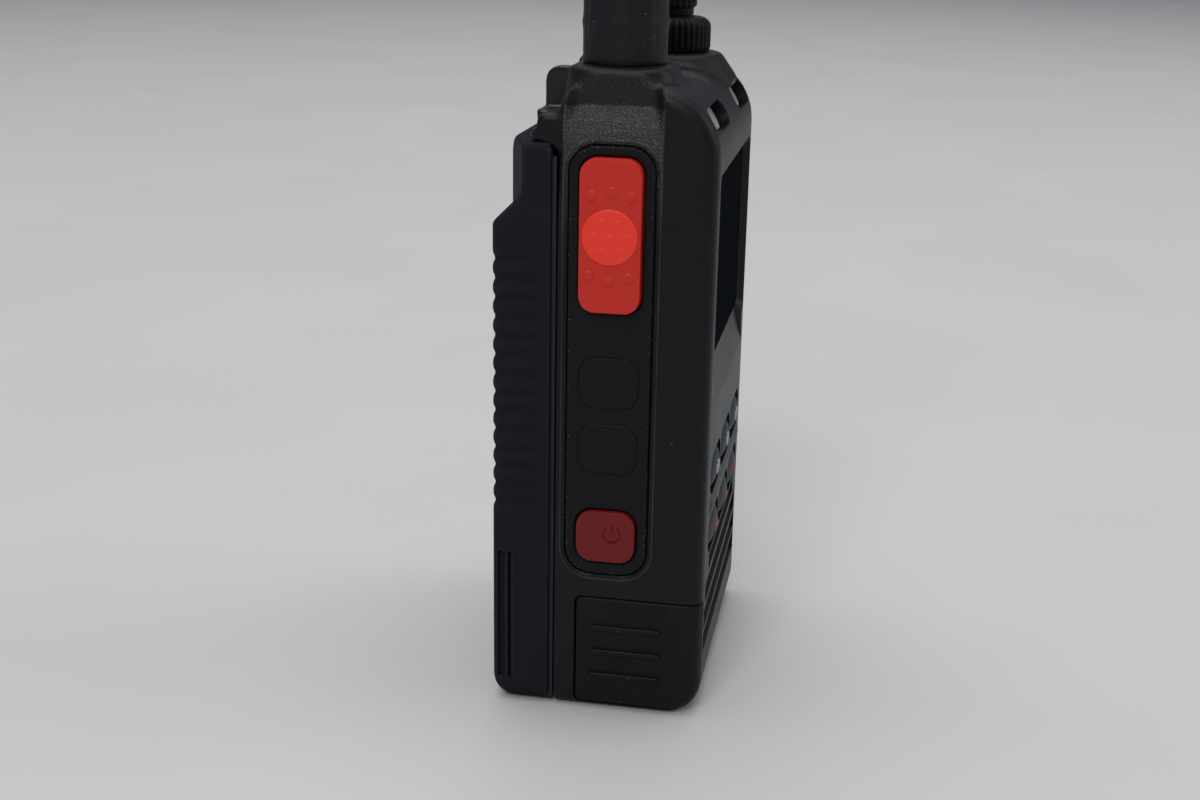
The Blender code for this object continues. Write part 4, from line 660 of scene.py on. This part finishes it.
def hollow(piece):
    wall, front, back, top = (shell[k] for k in ("wall", "front", "back", "top"))
    half = shell["half"] - wall
    room = bmesh.new()
    addBox(room, (-half, front + wall, wall), (half, back - wall, top - wall))
    for z, radius in ((top - wall, shell["topFront"]), (wall, shell["bottomFront"])):
        bevelEdges(room, ridge(room, front + wall, z), radius - wall, 10)
    roomPiece = newPiece("room", room)
    # left solid: behind the jack cover, under the leaning panel and round the screws
    kept = bmesh.new()
    addBox(kept, (cover["outer"], cover["front"], -1),
           (cover["wall"], cover["back"] + wall, cover["z"][1] + wall))
    addBox(kept, *panel["backing"])
    wide, near, high = screws["post"]
    for x in screws["x"]:
        addBox(kept, (x - wide, near, -1), (x + wide, back, high))
    carve(roomPiece, kept)
    carve(piece, roomPiece)
    opening = bmesh.new()
    addBox(opening, *shell["opening"])
    carve(piece, opening)


def makeHousing():
    piece = housingForm()
    shapeHead(piece)
    hollow(piece)
    side, front = -shell["half"], shell["front"]
    through = front + shell["through"]

    # the recesses and holes
    cores = bmesh.new()
    addStrip(cores, side - 1, strip["floor"], 0.0, 16)
    gap = cover["gap"]
    addBox(cores, (side - 1, front - 1, cover["z"][0] - gap),
           (cover["inner"] + gap, cover["back"] + gap, cover["z"][1] + gap), 0, cover["corner"] + gap, 8)
    for x, z in keyPlaces:
        addKey(cores, x, z, front - 1, front + keyRows["sink"], keyRows["margin"])
    half, high = grille["half"], grille["high"]
    for z in grille["z"]:
        addBox(cores, (-half, front - 1, z - high), (half, through, z + high), 1, high * fullRound, 8)
    gap, deep, corner = window["seat"]
    half, (low, high) = window["half"] + gap, window["z"]
    addBox(cores, (-half, front + deep, low - gap), (half, through, high + gap), 1, corner, 6)
    x, z, radius = grille["microphone"]
    addRod(cores, (x, front - 1, z), (x, through, z), radius, 20)
    for x in (-lens["x"], lens["x"]):
        addLens(cores, x, shell["topFront"] - lens["slotBack"], shell["topFront"] + 1, lens["gap"])
    for centre in shaftHoles["centres"]:
        addRod(cores, *((*centre, z) for z in shaftHoles["z"]), shaftHoles["radius"], 48)
    carve(piece, cores)

    # their chamfers
    rims = bmesh.new()
    low, high = zip((0, 0), strip["y"], strip["z"])
    addRim(rims, low, high, 0, strip["corner"], side, *strip["rim"], 16)
    half, low, high, flare, deep = window["bezel"]
    addRim(rims, (-half, 0, low), (half, 0, high), 1, window["corner"], front, flare, deep, 6)
    carve(piece, rims)

    # the slope under the window, the louvers and the room in which the latch moves
    slopes = bmesh.new()
    foot, deep, over, taper = window["slope"]
    head = low + over
    addRail(slopes, ((front, foot), (front + deep, head), (front - 1, head), (front - 1, foot)), half, taper)
    below, deep = grille["below"], front + grille["deep"]
    for z, (half, above) in zip(grille["z"], grille["louvers"]):
        foot = [(deep, z - drop) for drop in grille["foot"]]
        addRail(slopes, ((front, z + above), *foot, (front, z - below), (front - 1, z - below),
                         (front - 1, z + above)), half)
    half, near, far, low, high = latch["travel"]
    addBox(slopes, (-half, near, low), (half, far, high))
    carve(piece, slopes)

    # the ways for what moves or shows through the walls
    ways = bmesh.new()
    addStrip(ways, strip["floor"] - 1, strip["through"], strip["shelf"], 10)
    for x, z in keyPlaces:
        addKey(ways, x, z, front, through, keyRows["gap"])
    for z in jacks["z"]:
        addRod(ways, *((x, jacks["y"], z) for x in jacks["x"]), jacks["radius"])
    for x in screws["x"]:
        addRod(ways, *((x, y, screws["z"]) for y in screws["y"]), screws["radius"], 20)
    half, near, far, low, high = latch["tongueGap"]
    addBox(ways, (-half, near, low), (half, far, high))
    carve(piece, ways)
    fit(piece, "radio_body", "black_abs", housingAbs, "housing", angle=32.0)


makeHousing()
print("housing")


# Side keys in their black rubber strip

# each key: its name, the height of its middle, its length, its corner and its face; the short two are soft
sideKeys = {"y": (-8.65, 2.15), "flange": (-28.2, -27.5, 0.8), "root": -27.8, "stem": (-28.0, 5.0 / 3),
            "soft": 9.5, "gaps": (0.3, 0.03), "passes": (3, 2), "holes": (-31, -28), "rim": (0.25, 0.25),
            "grid": 0.26,
            "keys": (("talk", 90.2, 26.7, 2.9, -31.5), ("upper_side", 63.9, 9.3, 3.0, -30.05),
                     ("lower_side", 51.6, 9.3, 3.0, -30.05), ("power", 34.9, 9.8, 3.0, -30.5))}


def addSideKey(shape, z, length, corner, near, far, margin):
    low, high = sideKeys["y"]
    half = length / 2 + margin
    addBox(shape, (near, low - margin, z - half), (far, high + margin, z + half), 0, corner + margin, 12)


def makeStrip():
    shape = bmesh.new()
    addStrip(shape, *strip["x"], strip["gap"], 16)
    piece = mould(newPiece("keyStrip", shape), strip["grid"], 2)
    holes = bmesh.new()
    rims = bmesh.new()
    low, high = sideKeys["y"]
    for _, z, length, corner, _ in sideKeys["keys"]:
        isSoft = length < sideKeys["soft"]
        gap = sideKeys["gaps"][isSoft]
        half = length / 2 + gap
        addSideKey(holes, z, length, corner, *sideKeys["holes"], gap)
        if not isSoft:
            addRim(rims, (0, low - gap, z - half), (0, high + gap, z + half), 0, corner + gap, strip["x"][0],
                   *sideKeys["rim"], 12)
    carve(piece, holes)
    carve(piece, rims)
    fit(piece, "radio_body", "black_rubber", stripRubber, "key_strip", angle=32.0)


def makeSideKey(name, z, length, corner, face):
    node = name + ("_button" if name in ("talk", "power") else "_key")
    middle = sum(sideKeys["y"]) / 2
    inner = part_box(node)[1].x / mm
    shape = bmesh.new()
    addSideKey(shape, z, length, corner, face, sideKeys["root"], 0.0)
    addSideKey(shape, z, length, corner, *sideKeys["flange"])
    start, radius = sideKeys["stem"]
    addRod(shape, (start, middle, z), (inner, middle, z), radius)
    piece = newPiece(node.replace("_", " ").title().replace(" ", ""), shape)
    mould(piece, sideKeys["grid"], sideKeys["passes"][length < sideKeys["soft"]])
    if name == "talk":
        whole = talkRelief(middle, z)
        whole.from_mesh(piece.data)
        whole.to_mesh(piece.data)
        whole.free()
    if name == "power":
        carve(piece, powerMark(face, middle + powerSign["shift"][0], z + powerSign["shift"][1]))
    fit(piece, node + "_body", slotOf[node], finishes[slotOf[node]], node)


# relief of the talk button, as radius and height: a raised disc, its seven bumps, three dots above and below
talkDots = {"disc": ((4.95, 0.0), (4.95, 1.2), (4.85, 1.38), (4.65, 1.48), (4.35, 1.5), (4.05, 1.5),
                     (2.0, 1.5), (0.0, 1.5)),
            "bump": ((0.8, 0.0), (0.8, 0.52), (0.7, 0.60), (0.5, 0.66), (0.25, 0.69), (0.0, 0.70)),
            "dot": ((1.0, 0.0), (1.0, 0.9), (0.88, 1.02), (0.65, 1.09), (0.0, 1.12)),
            "foot": {"disc": -30.3, "bump": -31.2, "dot": -30.62}, "ring": 2.9,
            "places": ((0.0, 97.2), (-3.4, 98.0), (-6.75, 97.2), (0.3, 83.3), (-3.2, 82.4), (-6.55, 83.2))}


def talkRelief(y, z):
    turns = [math.tau * step / 6 for step in range(6)]
    ring = talkDots["ring"]
    bumps = [(y + ring * math.cos(turn), z + ring * math.sin(turn)) for turn in turns] + [(y, z)]
    shape = bmesh.new()
    for part, places, steps in (("disc", [(y, z)], 72), ("bump", bumps, 24), ("dot", talkDots["places"], 24)):
        x = talkDots["foot"][part]
        for partY, partZ in places:
            points = [(x, partY, partZ)] + [(x - h, partY + r, partZ) for r, h in talkDots[part]]
            joinShape(shape, turned(points, (x, partY, partZ), (1, 0, 0), steps))
    return shape


# an open ring with an upright bar, sunk a little into the power key
powerSign = {"shift": (-1.25, 0.7), "depth": (-0.5, 0.25), "ring": (1.35, 1.72), "open": 40.0, "steps": 28,
             "bar": (0.17, 0.3, 1.7)}


def powerMark(face, y, z):
    shape = bmesh.new()
    near, deep = (face + depth for depth in powerSign["depth"])
    inner, outer = powerSign["ring"]
    start = math.radians(powerSign["open"])
    corners = [(x, y + r * math.sin(start), z + r * math.cos(start)) for x, r in
               ((near, inner), (deep, inner), (deep, outer), (near, outer))]
    section = shape.faces.new([shape.verts.new([c * mm for c in corner]) for corner in corners])
    bmesh.ops.spin(shape, geom=[section, *section.edges, *section.verts], cent=(0, y * mm, z * mm),
                   axis=(-1, 0, 0), dvec=(0, 0, 0), angle=math.tau - 2 * start, steps=powerSign["steps"])
    bmesh.ops.recalc_face_normals(shape, faces=shape.faces)
    half, low, high = powerSign["bar"]
    addBox(shape, (near, y - half, z + low), (deep, y + half, z + high))
    return shape


makeStrip()
for keyRow in sideKeys["keys"]:
    makeSideKey(*keyRow)
print("side keys")


# Hinged rubber cover over the two jacks

coverRibs = {"x": (-30.6, -29), "y": (-13.85, -0.65), "half": 0.55, "pitch": 4.8, "corner": 0.5, "edge": 0.3}


def makeCover():
    piece = newPiece("jackCover", bodyForm())
    block = bmesh.new()
    low, high = zip((cover["outer"], cover["inner"]), (cover["front"], cover["back"]), cover["z"])
    addBox(block, low, high, 0, cover["corner"], 8)
    carve(piece, block, "INTERSECT")
    mould(piece, cover["grid"], 3)
    ridges = bmesh.new()
    (face, root), (near, far) = coverRibs["x"], coverRibs["y"]
    for step in (-1, 0, 1):
        z = sum(cover["z"]) / 2 + coverRibs["pitch"] * step
        bar = bmesh.new()
        addBox(bar, (face, near, z - coverRibs["half"]), (root, far, z + coverRibs["half"]), 0,
               coverRibs["corner"], 6)
        bevelEdges(bar, [e for e in bar.edges if lies(e, 0, face)], coverRibs["edge"], 4)
        joinShape(ridges, bar)
    carve(piece, ridges, "UNION")
    fit(piece, "jack_cover_body", "black_rubber", finishes["black_rubber"], "jack_cover")


makeCover()
print("jack cover")


# Battery pack with finger scoops, grip scallops and charging rails

pack = {"y": (7.2, 18.1), "z": (0.4, 105.5), "lowBack": 4.0, "topBack": 4.0, "side": 2.2, "wall": 1.6,
        "roomTop": 88.5, "scoop": (17.0, 6.1, 91.2), "slope": (10.3, 104.6), "rib": (28.5, 29.3, 103.2),
        "rails": (4.6, 30.3, 1.2, 0.3), "slots": ((15.6, 16.9), (14.2, 14.9)), "grid": 0.5}
# scallops down both sides: how many, the lowest and highest, and where they start and over which length
grips = {"count": 14, "z": (39.7, 84.9), "depth": 0.45, "y": (9.4, 0.7), "x": (24.0, 3.0), "power": 2.2}


def pressGrips(piece):
    count, (lowest, highest) = grips["count"], grips["z"]
    pitch = (highest - lowest) / (count - 1)
    normals = [v.normal.copy() for v in piece.data.vertices]
    for v, normal in zip(piece.data.vertices, normals):
        x, y, z = v.co / mm
        phase = (z - lowest) / pitch
        if not -0.5 < phase < count - 0.5:
            continue
        reach = ramp(y, *grips["y"]) * ramp(abs(x), *grips["x"])
        groove = (0.5 + 0.5 * math.cos(math.tau * phase)) ** grips["power"]
        v.co -= normal * grips["depth"] * reach * groove * mm
    soften(piece, 1)


def makeBattery():
    half, wall = shell["half"], pack["wall"]
    front, back = pack["y"]
    foot, top = pack["z"]
    shape = bmesh.new()
    addBox(shape, (-half, front, foot), (half, back, top))
    for z, radius in ((foot, pack["lowBack"]), (top, pack["topBack"])):
        bevelEdges(shape, ridge(shape, back, z), radius, 10)
    outline = [e for e in shape.edges if (lies(e, 0, -half) or lies(e, 0, half)) and not lies(e, 1, front)
               and not lies(e, 2, top)]
    bevelEdges(shape, outline, pack["side"], 6)
    piece = newPiece("batteryCase", shape)

    wide, deep, shoulder = pack["scoop"]
    scoops = bmesh.new()
    for side in (-1, 1):
        outer, inner = side * (half + 1), side * (half - wide)
        floor = ((outer, back - deep, shoulder + deep), (outer, back + 1, shoulder - 1),
                 (inner, back + 1, shoulder - 1), (inner, back, shoulder))
        drawOut(scoops, floor, [(x, y, top + 1) for x, y, _ in floor])
    carve(piece, scoops)
    edge = bmesh.new()
    start, low = pack["slope"]
    addPrism(edge, ((-half - 1, low), (half + 1, low), (half + 1, top), (-half - 1, top)), (front - 1,) * 4,
             (front, front, start, start))
    carve(piece, edge)
    mould(piece, pack["grid"], 2)
    pressGrips(piece)

    room = bmesh.new()
    addBox(room, (-half + wall, front - 1, foot + wall), (half - wall, back - wall, pack["roomTop"]))
    bevelEdges(room, ridge(room, back - wall, foot + wall), pack["lowBack"] - wall, 6)
    carve(piece, room)
    ribs = bmesh.new()
    rails = bmesh.new()
    low, high, sunk, corner = pack["rails"]
    for side in (-1, 1):
        # a low rib on each side wall closes the groove behind the housing
        near, far = sorted(side * x for x in pack["rib"][:2])
        addBox(ribs, (near, shell["back"] + 0.2, foot + 0.6), (far, front + 0.6, pack["rib"][2]))
        ends = sorted((side * (half + 1), side * (half - sunk)))
        for near, far in pack["slots"]:
            addBox(rails, (ends[0], near, low), (ends[1], far, high), 0, corner, 4)
    carve(piece, ribs, "UNION")
    carve(piece, rails)
    fit(piece, "battery_body", "black_abs", batteryAbs, "battery_case", angle=36.0)


makeBattery()
print("battery")


# Battery latch on its two springs

def makeLatch():
    half, front, back, low, high = latch["foot"]
    tabHalf, tabFront, tabBack, top = latch["tab"]
    shape = bmesh.new()
    addBox(shape, (-tabHalf, tabFront, low), (tabHalf, tabBack, top))
    bevelEdges(shape, ridge(shape, tabBack, top), latch["corner"], 10)
    piece = newPiece("batteryLatch", shape)
    dish = bmesh.new()
    dishHalf, deep = latch["dish"]
    addBox(dish, (-dishHalf, tabFront - 1, top - deep), (dishHalf, tabBack + 1, top + deep), 1,
           deep * fullRound, 12)
    carve(piece, dish)
    foot = bmesh.new()
    addBox(foot, (-half, front, low), (half, back, high), 2, 0.6, 6)
    carve(piece, foot, "UNION")
    tongue = bmesh.new()
    tongueHalf, near, tongueLow, tongueHigh = latch["tongue"]
    addBox(tongue, (-tongueHalf, near, tongueLow), (tongueHalf, front + 1, tongueHigh))
    carve(piece, tongue, "UNION")
    mould(piece, latch["grid"], 3)
    pockets = bmesh.new()
    spread, y, pocketTop, radius = latch["springs"]
    for x in (-spread, spread):
        addRod(pockets, (x, y, low - 1), (x, y, pocketTop), radius, 24)
    carve(piece, pockets)
    fit(piece, "latch_body", "black_abs", latchAbs, "battery_latch")


makeLatch()
print("latch")


# Antenna sleeve and the twin knob

def spun(profile, centre, steps):
    # radius and height in mm, turned about an upright axis
    return turned([(centre[0] + r, centre[1], h) for r, h in profile], (*centre, 0), (0, 0, 1), steps)


def pressFlutes(shape, centre, count, depth, power, inner, low, high, fade=0.0):
    # upright grooves round a turned piece, outside one radius and between two heights
    middle = Vector((*centre, 0)) * mm
    for v in shape.verts:
        out = Vector((v.co.x - middle.x, v.co.y - middle.y))
        if out.length < inner * mm or not low * mm < v.co.z < high * mm:
            continue
        share = (0.5 - 0.5 * math.cos(count * math.atan2(out.y, out.x))) ** power
        if fade:
            share *= ramp(v.co.z / mm, low, fade)
        step = out.normalized() * depth * share * mm
        v.co.x -= step.x
        v.co.y -= step.y


aerial = {"centre": (-18.0, -3.0), "base": 118.3, "top": 210.3, "radius": 7.3, "tip": 5.8, "bore": 2.2,
          "rodTop": 195.6, "straight": (24.0, 22.0), "swell": (125.0, 0.18, 0.9), "flutes": 10,
          "fluteDepth": 0.12, "flutePower": 9, "fluteFoot": 2.0, "fluteInner": 5.9}


def makeAntenna():
    base, top, radius, tip = (aerial[k] for k in ("base", "top", "radius", "tip"))
    turns = [math.radians(7.5 * s) for s in range(13)]
    arc = [(tip * math.sin(turn), top - tip * (1 - math.cos(turn))) for turn in turns]
    taperEnd, swellStart = aerial["straight"]
    taper = [(tip + (radius - tip) * s / 30, top - tip - (top - tip - base - taperEnd) * s / 30)
             for s in range(1, 31)]
    middle, most, spread = aerial["swell"]
    heights = [base + swellStart - 0.5 * s for s in range(41)]
    swell = [(radius + most * math.exp(-((h - middle) / spread) ** 2), h) for h in heights]
    foot = [(radius, base + 1.2), (radius - 0.03, base + 0.15), (radius - 0.15, base), (aerial["bore"], base),
            (aerial["bore"], aerial["rodTop"]), (0.0, aerial["rodTop"])]
    shape = spun(arc + taper + swell + foot, aerial["centre"], 192)
    pressFlutes(shape, aerial["centre"], aerial["flutes"], aerial["fluteDepth"], aerial["flutePower"],
                aerial["fluteInner"], base + aerial["fluteFoot"], top + 1, 1.0)
    fit(newPiece("antennaSleeve", shape), "antenna_body", "black_rubber", aerialRubber, "antenna_sleeve")


knob = {"centre": (15.0, -6.9), "base": 117.8, "top": 124.1, "radius": 6.9, "shoulder": 2.0, "edge": 4.5,
        "tube": 3.2, "shaft": 1.8, "washer": (3.2, 0.24), "ribs": 36, "groove": 0.42, "volumeFoot": 0.3,
        "volumeTop": 132.8, "volumeRadius": 4.1, "volumeRibs": 20, "volumeGroove": 0.25, "neck": 0.6,
        "bore": 2.5}


def makeKnobs():
    centre, base, top, radius, shaft = (knob[k] for k in ("centre", "base", "top", "radius", "shaft"))
    tube, half = knob["tube"], (base + top) / 2 + 0.3
    washer, washerTop = knob["washer"][0], top + knob["washer"][1]
    turns = [math.radians(15 * s) for s in range(7)]
    shoulder = [(knob["edge"] + (radius - knob["edge"]) * math.sin(turn),
                 top - knob["shoulder"] * (1 - math.cos(turn))) for turn in turns]
    flank = [(radius, top - knob["shoulder"] - (top - knob["shoulder"] - base) * s / 6) for s in range(1, 6)]
    head = [(shaft, washerTop), (washer, washerTop), (washer, top)]
    under = [(radius - 0.2, base + 0.1), (radius - 0.4, base), (tube, base), (tube, half), (shaft, half),
             (shaft, washerTop)]
    shape = spun(head + shoulder + flank + under, centre, knob["ribs"] * 8)
    pressFlutes(shape, centre, knob["ribs"], knob["groove"], 2, radius - 0.9, base + 0.05, top - 0.25)
    rubber = finishes["black_rubber"]
    fit(newPiece("channelRing", shape), "channel_knob_body", "black_rubber", rubber, "channel_ring")

    foot = top + knob["volumeFoot"]
    radius, high = knob["volumeRadius"], knob["volumeTop"]
    neck = radius - knob["neck"]
    cap = [(0.0, high), (neck - 0.6, high), (neck, high - 0.1), (radius - 0.1, high - 0.5),
           (radius, high - 0.9)]
    flank = [(radius, high - 0.9 - (high - 0.9 - foot - 1.8) * s / 6) for s in range(1, 7)]
    stem = [(neck, foot + 1.2), (neck, foot), (shaft, foot), (shaft, high - knob["bore"]),
            (0.0, high - knob["bore"])]
    shape = spun(cap + flank + stem, centre, knob["volumeRibs"] * 8)
    pressFlutes(shape, centre, knob["volumeRibs"], knob["volumeGroove"], 2, radius - 0.15, foot + 1.5,
                high - 0.4)
    fit(newPiece("volumeKnob", shape), "volume_knob_body", "black_rubber", rubber, "volume_knob")


makeAntenna()
makeKnobs()
print("antenna and knobs")


# Display window, front keys and status lenses

keyNames = {"rows": ("upper", "lower"), "columns": ("left", "middle", "right")}
# printed bars on each row of keys: place along the key and half height
keyMarks = {"bars": (((-1.6, 0.9), (0.0, 1.3), (1.6, 0.9)), ((-0.9, 0.8), (0.9, 0.8))), "half": 0.45,
            "proud": 0.11, "root": 0.3, "corner": 0.3}
# screen-printed ink: flat and a little worn
inkLooks = (("whiteInk", "#a9aaa8", "#c4c5c2"), ("redInk", "#a8322c", "#c23b33"))
printInk = [plasticFinish(name, {**greyLook, "dark": dark, "light": light, "grain": 0.15, "drift": 1.0})
            for name, dark, light in inkLooks]


def makeWindow():
    half, front, (low, high) = window["half"], window["front"], window["z"]
    shape = bmesh.new()
    addBox(shape, (-half, front, low), (half, window["back"], high), 1, window["corner"], 6)
    bevelEdges(shape, [e for e in shape.edges if lies(e, 1, front)], window["edge"], 3)
    piece = newPiece("displayWindow", shape)
    fit(piece, "radio_body", "black_glass", finishes["black_glass"], "display_window", angle=30.0)


def crown(verts, x, z):
    # the key's face is crowned, so it falls away towards its rim
    wide, high = (size / 2 for size in keyRows["size"])
    for v in verts:
        parts = (v.co.x / mm - x) / wide, (v.co.z / mm - z) / high
        fall = sum(abs(part) ** keyRows["crownPower"] for part in parts)
        v.co.y += keyRows["crown"] * min(fall, 1.0) * mm


def makeFrontKey(row, column):
    x, z = keyRows["x"][column], keyRows["z"][row]
    rowName, columnName = keyNames["rows"][row], keyNames["columns"][column]
    name = rowName + columnName.title()
    node = rowName + "_" + columnName + "_key"
    front = shell["front"]
    face, root = front - keyRows["proud"], front + keyRows["root"]
    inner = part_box(node)[1].y / mm
    shape = bmesh.new()
    addKey(shape, x, z, face, root, 0.0)
    near, far, margin = keyRows["flange"]
    addKey(shape, x, z, front + near, front + far, margin)
    addRod(shape, (x, root, z), (x, inner, z), keyRows["size"][1] / 4, 24)
    piece = mould(newPiece(name + "Key", shape), keyRows["grid"], 3)
    crown([v for v in piece.data.vertices if v.co.y < (front + keyRows["crownReach"]) * mm], x, z)
    fit(piece, node + "_body", "grey_silicone", finishes["grey_silicone"], node)
    mark = bmesh.new()
    half = keyMarks["half"]
    for step, high in keyMarks["bars"][row]:
        addBox(mark, (x + step - half, face - keyMarks["proud"], z - high),
               (x + step + half, face + keyMarks["root"], z + high), 1, keyMarks["corner"], 4)
    crown(mark.verts, x, z)
    fit(newPiece(name + "Mark", mark), node + "_body", "grey_silicone", printInk[row])


def makeLens(side, x):
    shape = bmesh.new()
    addLens(shape, x, shell["topFront"] - lens["back"], shell["topFront"] - lens["sink"], 0.0)
    fit(newPiece("statusLens" + side.title(), shape), "radio_body", "pale_lens", finishes["pale_lens"],
        "status_lens_" + side)


makeWindow()
for keyRow in range(2):
    for keyColumn in range(3):
        makeFrontKey(keyRow, keyColumn)
makeLens("left", -lens["x"])
makeLens("right", lens["x"])
print("front")
